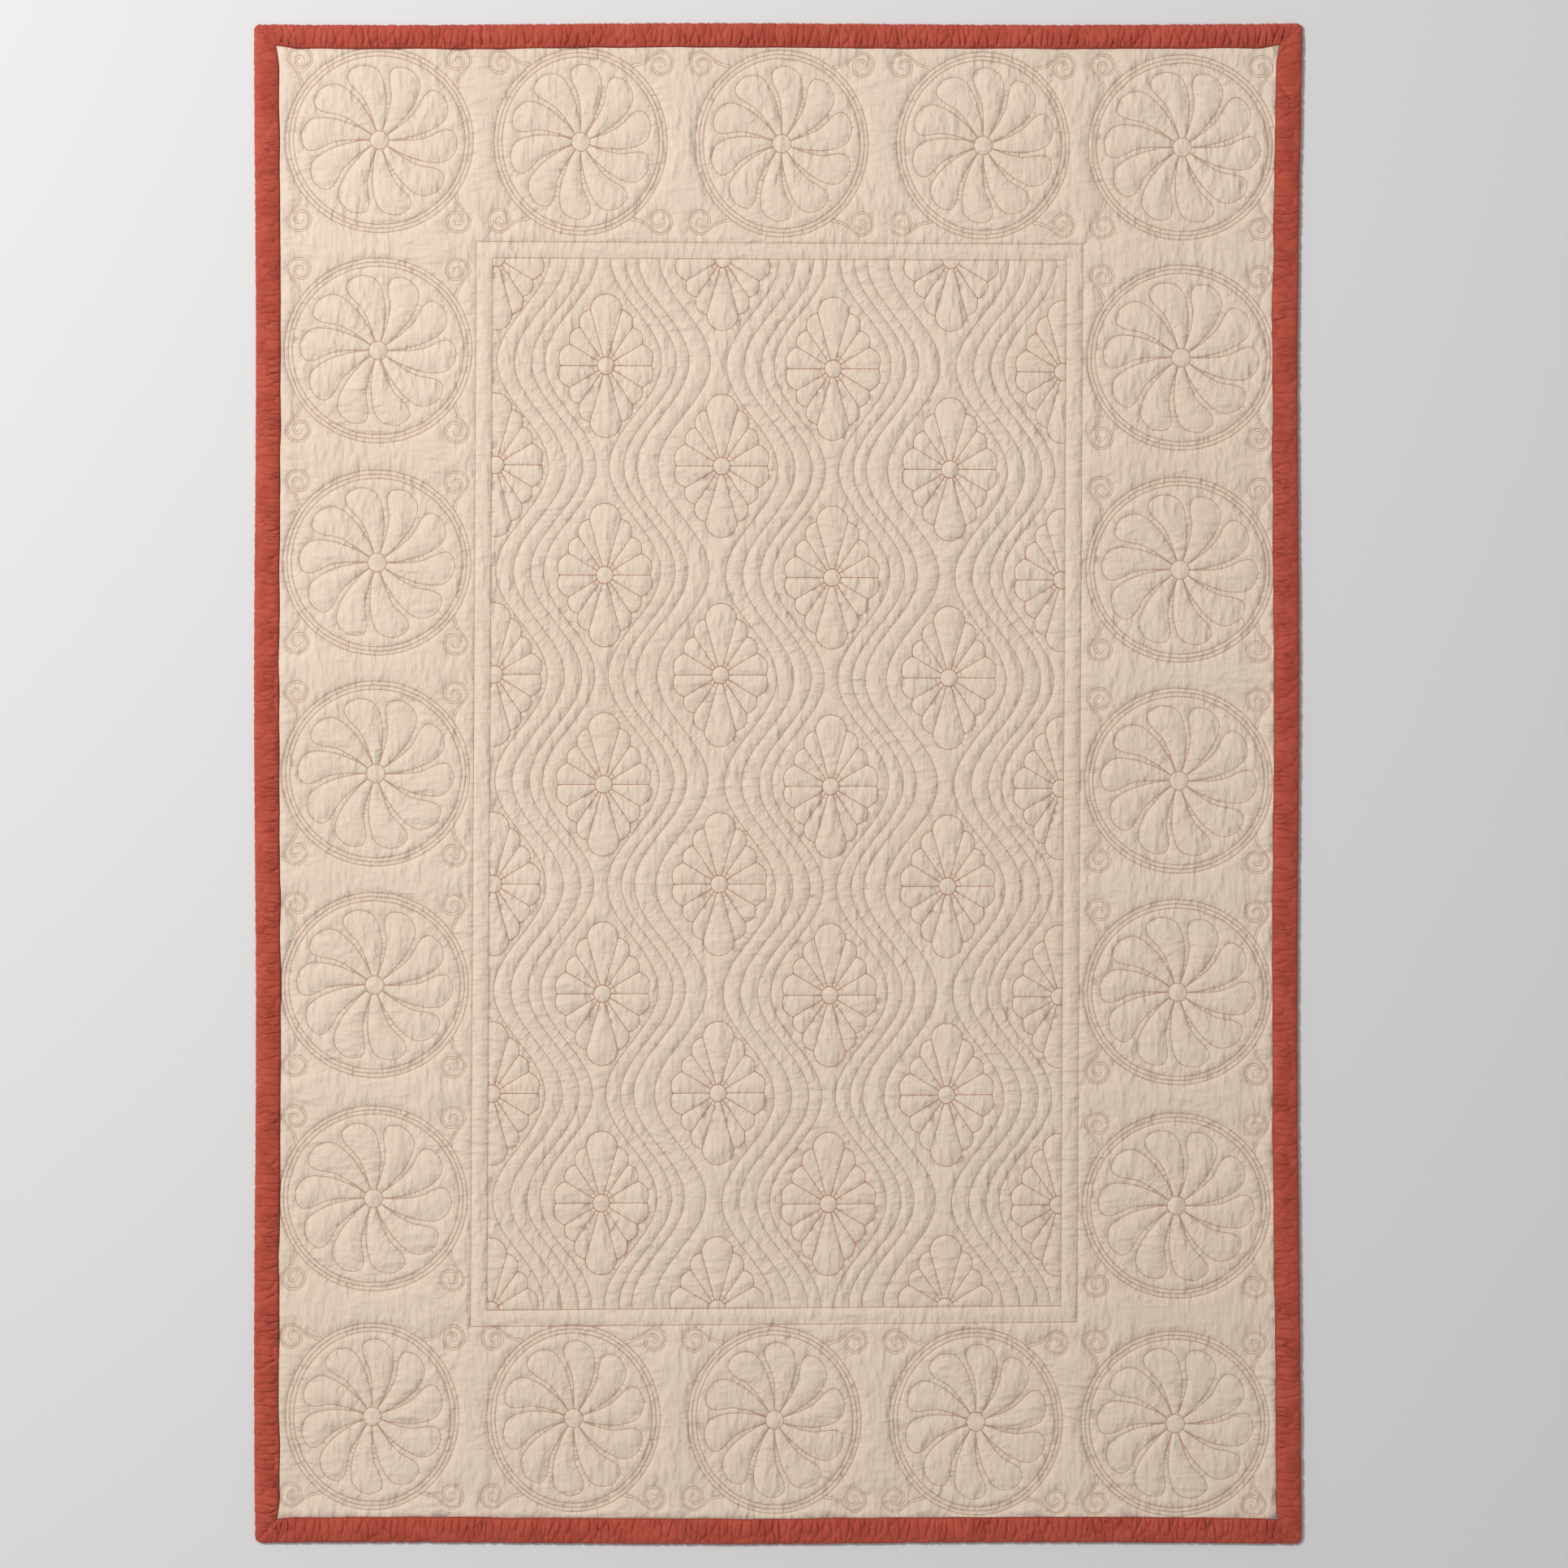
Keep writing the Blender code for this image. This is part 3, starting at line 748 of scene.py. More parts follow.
def thinned(line, keep):
    """Every few points of a line, and its end."""
    return line[:-1:keep] + line[-1:]


back_lines = [thinned(line, BACK_KEEP) for kind in ("petals", "flowers", "waves") for line in seams[kind]]
back_lines += [thinned(line, BACK_KEEP) for line in seams["rings"][1::RINGS]]
back = triangulate([outline] + back_lines, cloth_points(BACK_ROWS, BACK_FILL))
back["height"] = puffed(back, BACK_SEAM_HEIGHT, 0.0, BACK_EDGE_HEIGHT)
print(len(back["triangles"]), "triangles on the back")

# %% Which way the cloth is pulled at each point
PULL_REACH = 16.0
PULL_ROUNDS = 5
# The two lines of a scroll lie too close for the painted shade beside a seam, so its distances start from here
SHADE_CLEAR = 1.7
# The back is too coarse for painted shade and fine grooves, so its distances start past both
BACK_CLEAR = 3.0


def pull_of(mesh, least):
    """Twice the angle of the nearest seam as a cosine and sine, fading away from it, and its distance."""
    found = [tree.find((x, y, 0.0)) for x, y in mesh["flat"]]
    near = np.array([item[1] for item in found])
    distance = np.array([item[2] for item in found])
    ends, weight = neighbours(mesh)
    parts = []
    for part in (np.cos(2 * tree_angles[near]), np.sin(2 * tree_angles[near])):
        for _ in range(PULL_ROUNDS):
            part = averaged(ends, weight, part)
        parts.append(part * np.exp(-distance / PULL_REACH))
    shown = np.maximum(distance, np.where(on_scroll[near], max(least, SHADE_CLEAR), least))
    return np.stack((*parts, shown * MM), 1)


pull = np.concatenate((pull_of(face, 0.0), pull_of(back, BACK_CLEAR)))
print("nearest seam at most", round(pull[:, 2].max(), 3), "m away")

# %% One closed cloth
FACE_STRIP = 0.68
BACK_SCALE = 0.47


def build_object(name, verts, faces, edges=()):
    mesh = bpy.data.meshes.new(name)
    mesh.from_pydata(verts, edges, faces)
    mesh.update()
    return add_object(name, mesh)


def bake_map(piece, places):
    """A flat map with a place for every vertex."""
    layer = piece.data.uv_layers.new(name="OFBake")
    corners = np.empty(len(piece.data.loops), int)
    piece.data.loops.foreach_get("vertex_index", corners)
    layer.data.foreach_set("uv", places[corners].ravel())


def scene_verts(mesh):
    return np.column_stack((mesh["flat"] + SHIFT, mesh["height"])) * MM


verts = np.concatenate((scene_verts(face), scene_verts(back)))
offset = len(face["flat"])
rims = np.stack((face["rim"], back["rim"] + offset), 1)
wall = [(top, bottom, next_bottom, next_top)
        for (top, bottom), (next_top, next_bottom) in zip(rims, np.roll(rims, -1, 0))]
faces = face["triangles"].tolist() + (back["triangles"][:, ::-1] + offset).tolist() + wall
panel = build_object("quilted_cloth", verts, faces)
# The wall round the edge stays flat, so that it doesn't shade the cloth beside it
panel.data.polygons.foreach_set("use_smooth", np.arange(len(faces)) < len(faces) - len(wall))
panel.data.attributes.new("pull", "FLOAT_VECTOR", "POINT").data.foreach_set("vector", pull.ravel())
span = np.array((WIDTH, LENGTH)) * MM
places = verts[:, :2] / span + 0.5
places[:offset, 0] *= FACE_STRIP
places[offset:] = places[offset:] * BACK_SCALE * (FACE_STRIP, 1) + (FACE_STRIP, 0)
bake_map(panel, places)
print("cloth has", len(panel.data.polygons), "faces")

# %% [markdown]
# ## Cotton and thread
#
# The cotton is matt and pale. Beside a row of stitches it puckers: short ripples cross the seam, because the
# thread draws the cloth up along its length. Noise stretched in four fixed directions gives ripples of any
# slant, and the direction stored on the mesh says how much of each to take. The ripples fade with the
# distance from the seam. Creases that run up in some patches and across in others stand for the crumpled
# ground, finer noises for the ridges and crepe of the weave, and a slow one for uneven bleaching. The
# distance stored on the mesh also paints shade into the colour of the groove beside each row of stitches,
# with a little of the thread's colour bleeding into the cloth.

# %% Shader helpers
VALLEY_SHARE = 0.11
SWELL_HEIGHT = 2.4
SPECULAR = 0.3
# A colour Mix node has several sockets of each name, so they are found by number: factor, A and B
MIX_SOCKETS = (0, 6, 7)
MIX_RESULT = 2


def material_tree(name, roughness, sheen):
    material = bpy.data.materials.new(name)
    material.use_nodes = True
    tree = Tree(material.node_tree)
    shader = material.node_tree.nodes["Principled BSDF"]
    shader.inputs["Roughness"].default_value = roughness
    shader.inputs["Sheen Weight"].default_value = sheen
    shader.inputs["Specular IOR Level"].default_value = SPECULAR
    return material, tree, shader


def noise_at(tree, vector, scale, detail=2.0, dimensions="3D"):
    values = {"Vector": vector, "Scale": scale, "Detail": detail}
    return tree.add("ShaderNodeTexNoise", {"noise_dimensions": dimensions}, values)


def creased(tree, vector, degrees, wave, length, depth):
    """Soft swells with sharp valleys between them, short along one direction and long across it."""
    values = {"Vector": vector, "Rotation": (0.0, 0.0, math.radians(-degrees))}
    turned = tree.add("ShaderNodeMapping", {"vector_type": "POINT"}, values)
    sized = tree.add("ShaderNodeVectorMath", {"operation": "MULTIPLY"},
                     {0: turned, 1: (1 / wave, 1 / length, 0.0)})
    swell = noise_at(tree, sized, 1.0, 1.0, "2D") - 0.5
    valley = 1 - swell.math("ABSOLUTE").rise(0.0, VALLEY_SHARE)
    return swell * SWELL_HEIGHT - valley * depth


def blend(tree, amount, first, second):
    """A colour that goes from the first to the second as the amount rises from 0 to 1."""
    mix = tree.add("ShaderNodeMix", {"data_type": "RGBA"}).node
    for number, value in zip(MIX_SOCKETS, (amount, first, second)):
        tree.plug(value, mix.inputs[number])
    return Wire(tree, mix, MIX_RESULT)


def object_place(tree):
    return tree.add("ShaderNodeTexCoord").out("Object")


def stored(tree, name, out="Fac"):
    """What the mesh holds under a name at each point."""
    return tree.add("ShaderNodeAttribute", {"attribute_name": name}).out(out)


def cell_border(tree, spot, randomness):
    """How far a place is from the nearest border between the cells of a Voronoi pattern."""
    settings = {"feature": "DISTANCE_TO_EDGE", "voronoi_dimensions": "2D"}
    values = {"Vector": spot, "Scale": 1.0, "Randomness": randomness}
    return tree.add("ShaderNodeTexVoronoi", settings, values).out("Distance")


def roughen(tree, shader, height, distance, strength):
    values = {"Height": height, "Distance": distance, "Strength": strength}
    tree.plug(tree.add("ShaderNodeBump", None, values), shader.inputs["Normal"])

# %% Quilted cotton
CREAM = (0.755, 0.62, 0.495, 1.0)
CREAM_WORN = (0.725, 0.58, 0.455, 1.0)
# Painted shade for the groove beside a seam, mixed with thread colour bleeding into the cloth
SEAM_SHADOW_AND_BLEED = (0.50, 0.32, 0.235, 1.0)
# A row for each kind of crease: how wide and how long its swells are, and how deep the valleys between them
CREASES = {
    "ripple": {"wave": 0.0092, "length": 0.02, "depth": 0.32},
    "grain": {"wave": 0.016, "length": 0.036, "depth": 0.12},
    "ridge": {"wave": 0.005, "length": 0.03, "depth": 0.0},
}
# How much each layer counts for in the relief, beside the ripples
RELIEF = {"grain": 1.9, "ridge": 0.25, "groove": 0.3, "crepe": 0.35}
GROOVE_WIDTH = 0.0028
CREPE_SCALE = 260.0
PATCH_SCALE = 9.0
BLEACH_SCALE = 3.0
BLEACH_SHARE = 0.5
# How wide and how strong the painted groove shade and thread bleed are
SHADOW_AND_BLEED_WIDTH = 0.0017
SHADOW_AND_BLEED_SHARE = 0.55

cotton, cotton_tree, shader = material_tree("cream cotton", 0.9, 0.1)
here = object_place(cotton_tree)
parts = cotton_tree.add("ShaderNodeSeparateXYZ", None, {0: stored(cotton_tree, "pull", "Vector")})
even, slant, distance = parts.out("X"), parts.out("Y"), parts.out("Z")
ripples = 0.0
for degrees, weight in ((0, even), (45, slant), (90, even * -1), (135, slant * -1)):
    ripples = creased(cotton_tree, here, degrees, **CREASES["ripple"]) * weight.most(0.0) + ripples
crepe = noise_at(cotton_tree, here, CREPE_SCALE) - 0.5
patch = noise_at(cotton_tree, here, PATCH_SCALE, 1.0).rise(0.32, 0.58)
grain = creased(cotton_tree, here, 0, **CREASES["grain"]) * patch \
    + creased(cotton_tree, here, 90, **CREASES["grain"]) * (1 - patch)
ridges = creased(cotton_tree, here, 0, **CREASES["ridge"])
groove = distance.rise(0.0, GROOVE_WIDTH)
relief = ripples + grain * RELIEF["grain"] + ridges * RELIEF["ridge"] \
    + groove * RELIEF["groove"] + crepe * RELIEF["crepe"]
roughen(cotton_tree, shader, relief, 0.001, 1.0)
bleach = noise_at(cotton_tree, here, BLEACH_SCALE, 3.0).rise(0.35, 0.7)
tone = blend(cotton_tree, bleach * BLEACH_SHARE, CREAM, CREAM_WORN)
# Shade painted into the colour beside each seam, partly thread colour bleeding into the cloth
groove_shadow_and_bleed = 1 - distance.rise(0.0, SHADOW_AND_BLEED_WIDTH)
colour = blend(cotton_tree, groove_shadow_and_bleed * SHADOW_AND_BLEED_SHARE, tone, SEAM_SHADOW_AND_BLEED)
cotton_tree.plug(colour, shader.inputs["Base Color"])
panel.data.materials.append(cotton)
print("cotton has", len(cotton.node_tree.nodes), "nodes")

# %% [markdown]
# ## The stitches
#
# Running stitch is one small bar of thread after another, always on the line that was drawn. That is a rule,
# so Geometry Nodes lay the stitches: the line becomes a curve, points are set along it, and a small bar is
# placed on each point, turned to run with the line and a little off true, as hand work is. The bar has eight
# triangles, because there are tens of thousands of them. The rust thread is darker on the flowers and faded
# on the other lines, so there are two threads, and each kind of line has its own width of stitch.

# %% One stitch
STITCH_LENGTH = 4.15
STITCH_WIDTH = 1.3
STITCH_TOP = 0.35
STITCH_ROOT = -0.3
RIDGE_SHARE = 0.8


def build_stitch():
    """A low bar with a ridge along it."""
    half, side = STITCH_LENGTH / 2, STITCH_WIDTH / 2
    ridge = half * RIDGE_SHARE
    verts = np.array([(-half, -side, STITCH_ROOT), (half, -side, STITCH_ROOT), (half, side, STITCH_ROOT),
                      (-half, side, STITCH_ROOT), (-ridge, 0.0, STITCH_TOP), (ridge, 0.0, STITCH_TOP)])
    faces = [(0, 3, 2, 1), (0, 1, 5, 4), (2, 3, 4, 5), (1, 2, 5), (3, 0, 4)]
    return build_object("stitch", verts * MM, faces)


stitch = build_stitch()

# %% Geometry Nodes helpers
def node_tree(name, inputs):
    """An empty geometry tree with named inputs, as (tree, wires of its inputs)."""
    group = bpy.data.node_groups.new(name, "GeometryNodeTree")
    group.interface.new_socket("Geometry", in_out="INPUT", socket_type="NodeSocketGeometry")
    for label, kind in inputs.items():
        group.interface.new_socket(label, in_out="INPUT", socket_type="NodeSocket" + kind)
    group.interface.new_socket("Geometry", in_out="OUTPUT", socket_type="NodeSocketGeometry")
    tree = Tree(group)
    source = tree.add("NodeGroupInput")
    return tree, {label: source.out(label) for label in ("Geometry", *inputs)}


def finish_tree(tree, result, material):
    """Every tree ends the same way: real geometry, with its material."""
    real = tree.add("GeometryNodeRealizeInstances", None, {"Geometry": result})
    done = tree.add("GeometryNodeSetMaterial", None, {"Geometry": real, "Material": material})
    tree.add_output(done)


def run_tree(piece, tree, values):
    """Sets a tree's inputs, runs it on a piece, and keeps the result as the piece's plain mesh."""
    modifier = piece.modifiers.new(tree.tree.name, "NODES")
    modifier.node_group = tree.tree
    for item in tree.tree.interface.items_tree:
        if item.in_out == "INPUT" and item.name in values:
            modifier[item.identifier] = values[item.name]
    depsgraph = bpy.context.evaluated_depsgraph_get()
    mesh = bpy.data.meshes.new_from_object(piece.evaluated_get(depsgraph))
    piece.modifiers.remove(modifier)
    old = piece.data
    piece.data = mesh
    bpy.data.meshes.remove(old)
    mesh.name = piece.name

# %% Stitching tree
stitching, given = node_tree("stitching", {"Pitch": "Float", "Stitch": "Object", "Width": "Float",
                                           "Unsteady": "Float", "Seed": "Int", "Material": "Material"})
path = stitching.add("GeometryNodeMeshToCurve", None, {"Mesh": given["Geometry"]})
beads = stitching.add("GeometryNodeCurveToPoints", {"mode": "LENGTH"},
                      {"Curve": path, "Length": given["Pitch"]})
facing = stitching.add("FunctionNodeAlignRotationToVector", {"axis": "X", "pivot_axis": "Z"},
                       {"Vector": beads.out("Tangent")})
# The least and the most of a random number are its sockets 2 and 3, and the number is its second output
chance = stitching.add("FunctionNodeRandomValue", {"data_type": "FLOAT"})
for label, value in ((2, given["Unsteady"] * -1), (3, given["Unsteady"]), ("Seed", given["Seed"])):
    stitching.plug(value, chance.node.inputs[label])
askew = stitching.add("ShaderNodeCombineXYZ", None, {"Z": Wire(stitching, chance.node, 1)})
turned = stitching.add("FunctionNodeRotateRotation", {"rotation_space": "LOCAL"},
                       {"Rotation": facing, "Rotate By": askew})
shape = stitching.add("GeometryNodeObjectInfo", {"transform_space": "ORIGINAL"}, {"Object": given["Stitch"]})
size = stitching.add("ShaderNodeCombineXYZ", None, {"X": 1.0, "Y": given["Width"], "Z": 1.0})
laid = stitching.add("GeometryNodeInstanceOnPoints", None,
                     {"Points": beads, "Instance": shape.out("Geometry"), "Rotation": turned, "Scale": size})
finish_tree(stitching, laid, given["Material"])
print("stitching tree has", len(stitching.tree.nodes), "nodes")

# %% Thread
THREADS = {
    "fresh": {"deep": (0.35, 0.075, 0.05, 1.0), "worn": (0.46, 0.17, 0.12, 1.0)},
    "faded": {"deep": (0.40, 0.20, 0.14, 1.0), "worn": (0.52, 0.32, 0.23, 1.0)},
}
WORN_SHARE = 0.8
WORN_SCALE = 60.0
TWIST_SCALE = 900.0


def build_thread(name, deep, worn):
    material, tree, shader = material_tree(name + " thread", 0.8, 0.1)
    here = object_place(tree)
    patches = noise_at(tree, here, WORN_SCALE).rise(0.3, 0.7)
    tree.plug(blend(tree, patches * WORN_SHARE, deep, worn), shader.inputs["Base Color"])
    roughen(tree, shader, noise_at(tree, here, TWIST_SCALE, 1.0), 0.0002, 0.5)
    return material


threads = {name: build_thread(name, **colours) for name, colours in THREADS.items()}

# %% Sew every kind of line
THREAD_LIFT = 0.1
UNSTEADY = 0.06
# A row for each kind: how far apart its stitches are, how wide against the plain stitch, and its thread
SEWING = {
    "rings": {"pitch": 4.2, "width": 1.25, "thread": "faded", "seed": 1},
    "petals": {"pitch": 4.2, "width": 1.35, "thread": "faded", "seed": 2},
    "scrolls": {"pitch": 4.2, "width": 1.35, "thread": "faded", "seed": 3},
    "flowers": {"pitch": 4.0, "width": 1.45, "thread": "fresh", "seed": 4},
    "waves": {"pitch": 4.2, "width": 1.35, "thread": "faded", "seed": 5},
}
stitches = []
for kind, row in SEWING.items():
    line_verts = []
    line_edges = []
    for line in seams[kind]:
        start = len(line_verts)
        line_verts += [(x + SHIFT[0], y + SHIFT[1], SEAM_HEIGHT + THREAD_LIFT) for x, y in line]
        line_edges += [(start + index, start + index + 1) for index in range(len(line) - 1)]
    piece = build_object("stitches_" + kind, np.array(line_verts) * MM, [], line_edges)
    thread = threads[row["thread"]]
    stitch.data.materials.clear()
    stitch.data.materials.append(thread)
    run_tree(piece, stitching, {"Pitch": row["pitch"] * MM, "Stitch": stitch, "Width": row["width"],
                                "Unsteady": UNSTEADY, "Seed": row["seed"], "Material": thread})
    co = np.empty(len(piece.data.vertices) * 3)
    piece.data.vertices.foreach_get("co", co)
    bake_map(piece, co.reshape(-1, 3)[:, :2] / span + 0.5)
    stitches.append(piece)
    print(piece.name, len(piece.data.polygons), "faces")
bpy.data.objects.remove(stitch)

# %% [markdown]
# ## The gathered binding
#
# Each edge is bound with a strip of rust cotton, cut longer than the edge, gathered along both sides and
# folded over wadding. It lies as a low round roll, crossed by creases that run out from the seam and fork.
# The roll is swept along the edge first, with its ends cut on the slant for the mitres. Then Geometry Nodes
# press the creases in: the borders between the cells of a Voronoi pattern, stretched across the strip, meet
# and fork as real creases do.
#
# A roll bulges a little over the panel. It dips at its mitres, at a join in its cloth and where it has lain
# folded. The finest creases are only in its bump, with shade painted into its colour, and the dark ditch
# beside the panel is shade painted into its colour.

# %% Strips
ROLL_HEIGHT = 13.0
ROLL_FOOT = 0.3
ROLL_ROUND = 0.7
SECTION_STEPS = 16
# The cloth is held for the first step of the section, freed over the next few, and less free at the outer edge
HELD_STEPS = 1
FREEING_STEPS = 4
OUTER_HOLD = 1.2
# A row for each point of the flat underside, from the outer edge back to the inner one
UNDERSIDE = (
    {"share": 0.985, "rise": 0.02, "loose": 0.2},
    {"share": 0.75, "rise": 0.0, "loose": 0.0},
    {"share": 0.25, "rise": 0.0, "loose": 0.0},
    {"share": 0.02, "rise": 0.0, "loose": 0.0},
)
MITRE_RUN = 70.0
MITRE_DIP = 12.0
MITRE_DEPTH = 0.25
MITRE_GAP = 0.1
CORNER_RADIUS = 11.0
# Each strip runs counter-clockwise from its own corner to the next one
CORNERS = (("left", "bottom"), ("right", "bottom"), ("right", "top"), ("left", "top"))
# A row for each strip: how far apart and how deep its creases are, and how far it bulges over the panel
STRIPS = {
    "bottom": {"pitch": 12.5, "depth": 5.6, "bulge": 2.6, "seed": 3.1},
    "right": {"pitch": 15.0, "depth": 4.4, "bulge": 4.4, "seed": 15.7},
    "top": {"pitch": 12.5, "depth": 5.6, "bulge": 5.0, "seed": 28.4},
    "left": {"pitch": 15.0, "depth": 4.4, "bulge": 4.6, "seed": 41.9},
}
SWAY = 2.0
SWAY_LENGTH = 80.0
ALONG_STEP = 1.7
# The share of a strip's width, from its inner edge, over which a dip grows to its full depth
DIP_SHARE = 0.25
# A row for each dent: its strip, its distance from the strip's start, how far it runs and how deep it is
DENTS = (
    {"side": "top", "place": 1395.0, "run": 2.2, "depth": 0.22},
    {"side": "top", "place": 893.0, "run": 9.0, "depth": 0.16},
    {"side": "bottom", "place": 900.0, "run": 9.0, "depth": 0.16},
)


def corner(sides, inner):
    x = (1 if sides[0] == "right" else -1) * (WIDTH / 2 - (BINDING[sides[0]] if inner else 0.0))
    y = (1 if sides[1] == "top" else -1) * (LENGTH / 2 - (BINDING[sides[1]] if inner else 0.0))
    return np.array((x, y))


def bulge(side, distance, near):
    """How far the roll lies over the panel: nothing at the mitres, then a little more here and less there."""
    sway = noise.noise(Vector((distance / SWAY_LENGTH, STRIPS[side]["seed"], 0.0)))
    return (STRIPS[side]["bulge"] + SWAY * sway) * min(1.0, near / MITRE_RUN)


def outer_place(distance, length):
    """Where a station meets the outer edge: how far along it, and how far in, round the corners."""
    near = min(distance, length - distance)
    if near >= CORNER_RADIUS:
        return distance, 0.0
    angle = math.radians(45 + 45 * near / CORNER_RADIUS)
    run = CORNER_RADIUS * (1 - math.cos(angle))
    return (run if distance < length / 2 else length - run), CORNER_RADIUS * (1 - math.sin(angle))


def inner_place(distance, length, start_inset, end_inset):
    """Where a station meets the inner edge: straight across, but slanting near the mitres."""
    if distance < MITRE_RUN:
        return start_inset + distance * (MITRE_RUN - start_inset) / MITRE_RUN
    if length - distance < MITRE_RUN:
        return length - end_inset - (length - distance) * (MITRE_RUN - end_inset) / MITRE_RUN
    return distance


def dent(side, distance):
    """How much of its height a strip loses at the join in its cloth and where it has lain folded."""
    return sum(row["depth"] * math.exp(-((distance - row["place"]) / row["run"]) ** 2)
               for row in DENTS if row["side"] == side)


def section():
    """Share across the strip, height as a share of the roll's, and how freely the cloth gathers there."""
    rows = []
    for index in range(SECTION_STEPS + 1):
        angle = math.pi * index / SECTION_STEPS
        rise = ROLL_FOOT + (1 - ROLL_FOOT) * math.sin(angle) ** ROLL_ROUND
        freed = max(0, index - HELD_STEPS) / FREEING_STEPS
        rows.append(((1 - math.cos(angle)) / 2, rise, min(1.0, freed, OUTER_HOLD - index / SECTION_STEPS)))
    return rows + [tuple(row.values()) for row in UNDERSIDE]


def build_strip(side):
    number = list(STRIPS).index(side)
    first_corner, last_corner = CORNERS[number], CORNERS[(number + 1) % len(CORNERS)]
    start, end = corner(first_corner, False), corner(last_corner, False)
    length = math.dist(start, end)
    along = (end - start) / length
    inward = np.array((-along[1], along[0]))
    start_inset = (corner(first_corner, True) - start) @ along
    end_inset = (end - corner(last_corner, True)) @ along
    profile = section()
    verts = []
    marks = []
    count = round(length / ALONG_STEP)
    for index in range(count + 1):
        distance = MITRE_GAP + (length - 2 * MITRE_GAP) * index / count
        inner = inner_place(distance, length, start_inset, end_inset)
        outer, inset = outer_place(distance, length)
        near = min(distance, length - distance)
        reach = BINDING[side] + bulge(side, distance, near)
        drop = MITRE_DEPTH * math.exp(-near / MITRE_DIP) + dent(side, distance)
        for share, rise, loose in profile:
            dip = 1 - drop * min(1.0, share / DIP_SHARE)
            run = inner + (outer - inner) * share
            depth = reach * (1 - share) + inset * share
            x, y = wander(start + along * run + inward * depth)
            verts.append((x + SHIFT[0], y + SHIFT[1], ROLL_HEIGHT * rise * dip))
            marks.append((run * MM, share, loose * min(1.0, near / MITRE_DIP)))
    rows = len(profile)
    faces = []
    for index in range(count):
        for step in range(rows):
            first, second = index * rows + step, index * rows + (step + 1) % rows
            faces.append((first, second, second + rows, first + rows))
    faces.append(tuple(range(rows))[::-1])
    faces.append(tuple(range(count * rows, (count + 1) * rows)))
    piece = build_object("gathered_" + side, np.array(verts) * MM, faces)
    piece.data.shade_smooth()
    marks = np.array(marks)
    for column, name in enumerate(("along", "across", "loose")):
        layer = piece.data.attributes.new(name, "FLOAT", "POINT")
        layer.data.foreach_set("value", np.ascontiguousarray(marks[:, column]))
    return piece, marks

# %% Gathering tree
CELL_LENGTH = 1.15
CREASE_SHARE = 0.15
RIPPLE_SHARE = 0.7
SLANT = 0.35

gathering, given = node_tree("gathering", {"Pitch": "Float", "Depth": "Float", "Slant": "Float",
                                           "Seed": "Float", "Material": "Material"})
along, across, loose = (
    gathering.add("GeometryNodeInputNamedAttribute", {"data_type": "FLOAT"}, {"Name": name})
    for name in ("along", "across", "loose"))
run = along / given["Pitch"] + (across - 0.5) * given["Slant"] + given["Seed"]
spot = gathering.add("ShaderNodeCombineXYZ", None, {"X": run, "Y": across * CELL_LENGTH, "Z": given["Seed"]})
crease = 1 - cell_border(gathering, spot, 0.9).rise(0.0, CREASE_SHARE)
strength = noise_at(gathering, spot, 0.8, 1.0, "2D").rise(0.1, 0.5)
ripple = noise_at(gathering, spot, 2.3, 2.0, "2D") - 0.5
lift = (ripple * RIPPLE_SHARE - crease * strength) * given["Depth"] * loose
normal = gathering.add("GeometryNodeInputNormal")
move = gathering.add("ShaderNodeVectorMath", {"operation": "SCALE"}, {0: normal, "Scale": lift})
moved = gathering.add("GeometryNodeSetPosition", None, {"Geometry": given["Geometry"], "Offset": move})
finish_tree(gathering, moved, given["Material"])

# %% Rust cotton
RUST = (0.41, 0.062, 0.036, 1.0)
RUST_LIGHT = (0.54, 0.10, 0.062, 1.0)
# Shade painted into the fine creases and into the ditch beside the panel, where the roll's inner side is in
# shadow
PAINTED_CREASE_SHADE = (0.20, 0.022, 0.014, 1.0)
FINE_PITCH = 0.0075
FINE_LENGTH = 1.6
FINE_SHARE = 0.13
FINE_SHADE_SHARE = 0.5
FINE_PATCH_SCALE = 22.0
DITCH_WIDTH = 0.09
DITCH_SHADE_SHARE = 0.65
LIGHT_SHARE = 0.6
LIGHT_SCALE = 28.0
SAG_SCALE = 40.0
WEAVE_SHARE = 0.5

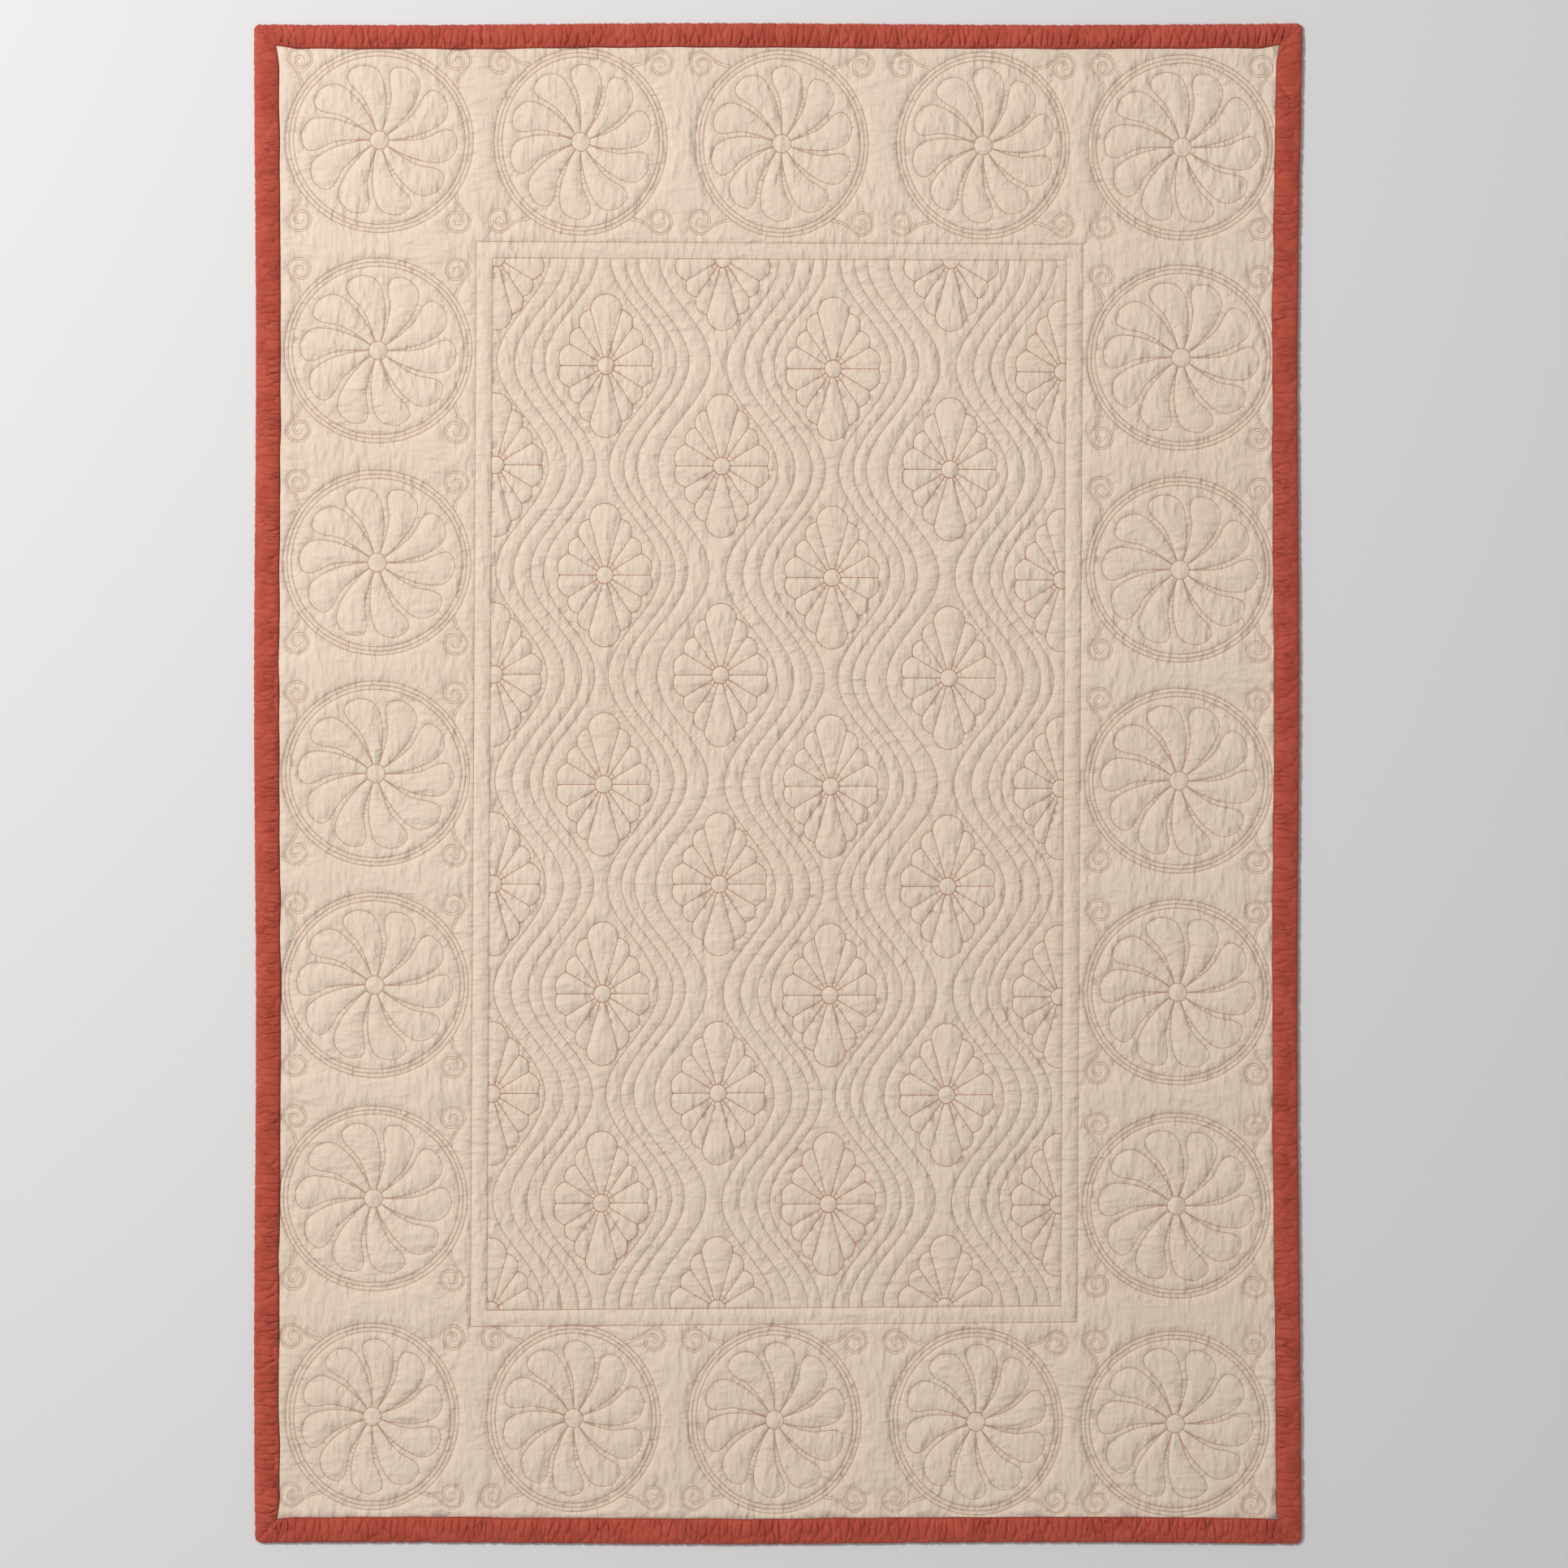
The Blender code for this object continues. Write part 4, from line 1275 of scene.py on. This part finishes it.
rust, rust_tree, shader = material_tree("rust cotton", 0.85, 0.08)
here = object_place(rust_tree)
patchy = noise_at(rust_tree, here, LIGHT_SCALE, 4.0).rise(0.3, 0.7)
weave = noise_at(rust_tree, here, CREPE_SCALE)
along = stored(rust_tree, "along")
across = stored(rust_tree, "across")
sag = noise_at(rust_tree, here, SAG_SCALE) - 0.5
spot = rust_tree.add("ShaderNodeCombineXYZ", None,
                     {"X": along / FINE_PITCH + sag * 2, "Y": across * FINE_LENGTH, "Z": 0.0})
fine = 1 - cell_border(rust_tree, spot, 1.0).rise(0.0, FINE_SHARE)
fine = fine * (1 - across.rise(0.4, 1.0)) * noise_at(rust_tree, here, FINE_PATCH_SCALE, 1.0).rise(0.35, 0.7)
# The ditch beside the panel gets painted shade, darkest at the strip's inner edge
ditch = 1 - across.rise(0.0, DITCH_WIDTH)
base = blend(rust_tree, patchy * LIGHT_SHARE, RUST, RUST_LIGHT)
# The fine creases and the ditch are darkened with painted shade
colour = blend(rust_tree, (fine * FINE_SHADE_SHARE).most(ditch * DITCH_SHADE_SHARE), base, PAINTED_CREASE_SHADE)
rust_tree.plug(colour, shader.inputs["Base Color"])
roughen(rust_tree, shader, weave * WEAVE_SHARE - fine, 0.0009, 0.9)

# %% Gather the four strips
# On the flat map of the strips: how wide each one is, and how far apart they lie
MAP_STRIP = 0.06
MAP_APART = 0.2
bindings = []
for side, row in STRIPS.items():
    piece, marks = build_strip(side)
    run_tree(piece, gathering, {"Pitch": row["pitch"] * MM, "Depth": row["depth"] * MM, "Slant": SLANT,
                                "Seed": row["seed"], "Material": rust})
    up = marks[:, 1] * MAP_STRIP + MAP_APART * len(bindings)
    bake_map(piece, np.column_stack((marks[:, 0] / LENGTH / MM, up)))
    bindings.append(piece)
    print(piece.name, len(piece.data.polygons), "faces")

# %% [markdown]
# ## The floor
#
# A plain pale floor lies under the bedspread and catches the narrow shadow along its right and lower edges.

# %% Floor
FLOOR_HALF = 40.0
FLOOR_GREY = (0.715, 0.715, 0.715, 1.0)

signs = ((-1, -1), (1, -1), (1, 1), (-1, 1))
floor = build_object("floor", [(x * FLOOR_HALF, y * FLOOR_HALF, 0.0) for x, y in signs], [(0, 1, 2, 3)])
plain, _, shader = material_tree("plain floor", 0.9, 0.0)
shader.inputs["Base Color"].default_value = FLOOR_GREY
floor.data.materials.append(plain)

# %% [markdown]
# ## What each piece is
#
# Nothing on a bedspread moves against the rest, so every piece rides on the one body. The cloth and the four
# strips take the place of the solids they were fitted to.

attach(panel, "root")
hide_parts("quilted_panel")
for piece in stitches:
    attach(piece, "root")
flat_size = (PANEL["right"] - PANEL["left"] + 2 * TUCK, PANEL["top"] - PANEL["bottom"] + 2 * TUCK)
tuple(size * MM for size in flat_size)
for side, piece in zip(STRIPS, bindings):
    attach(piece, "root")
    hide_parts("binding_" + side)
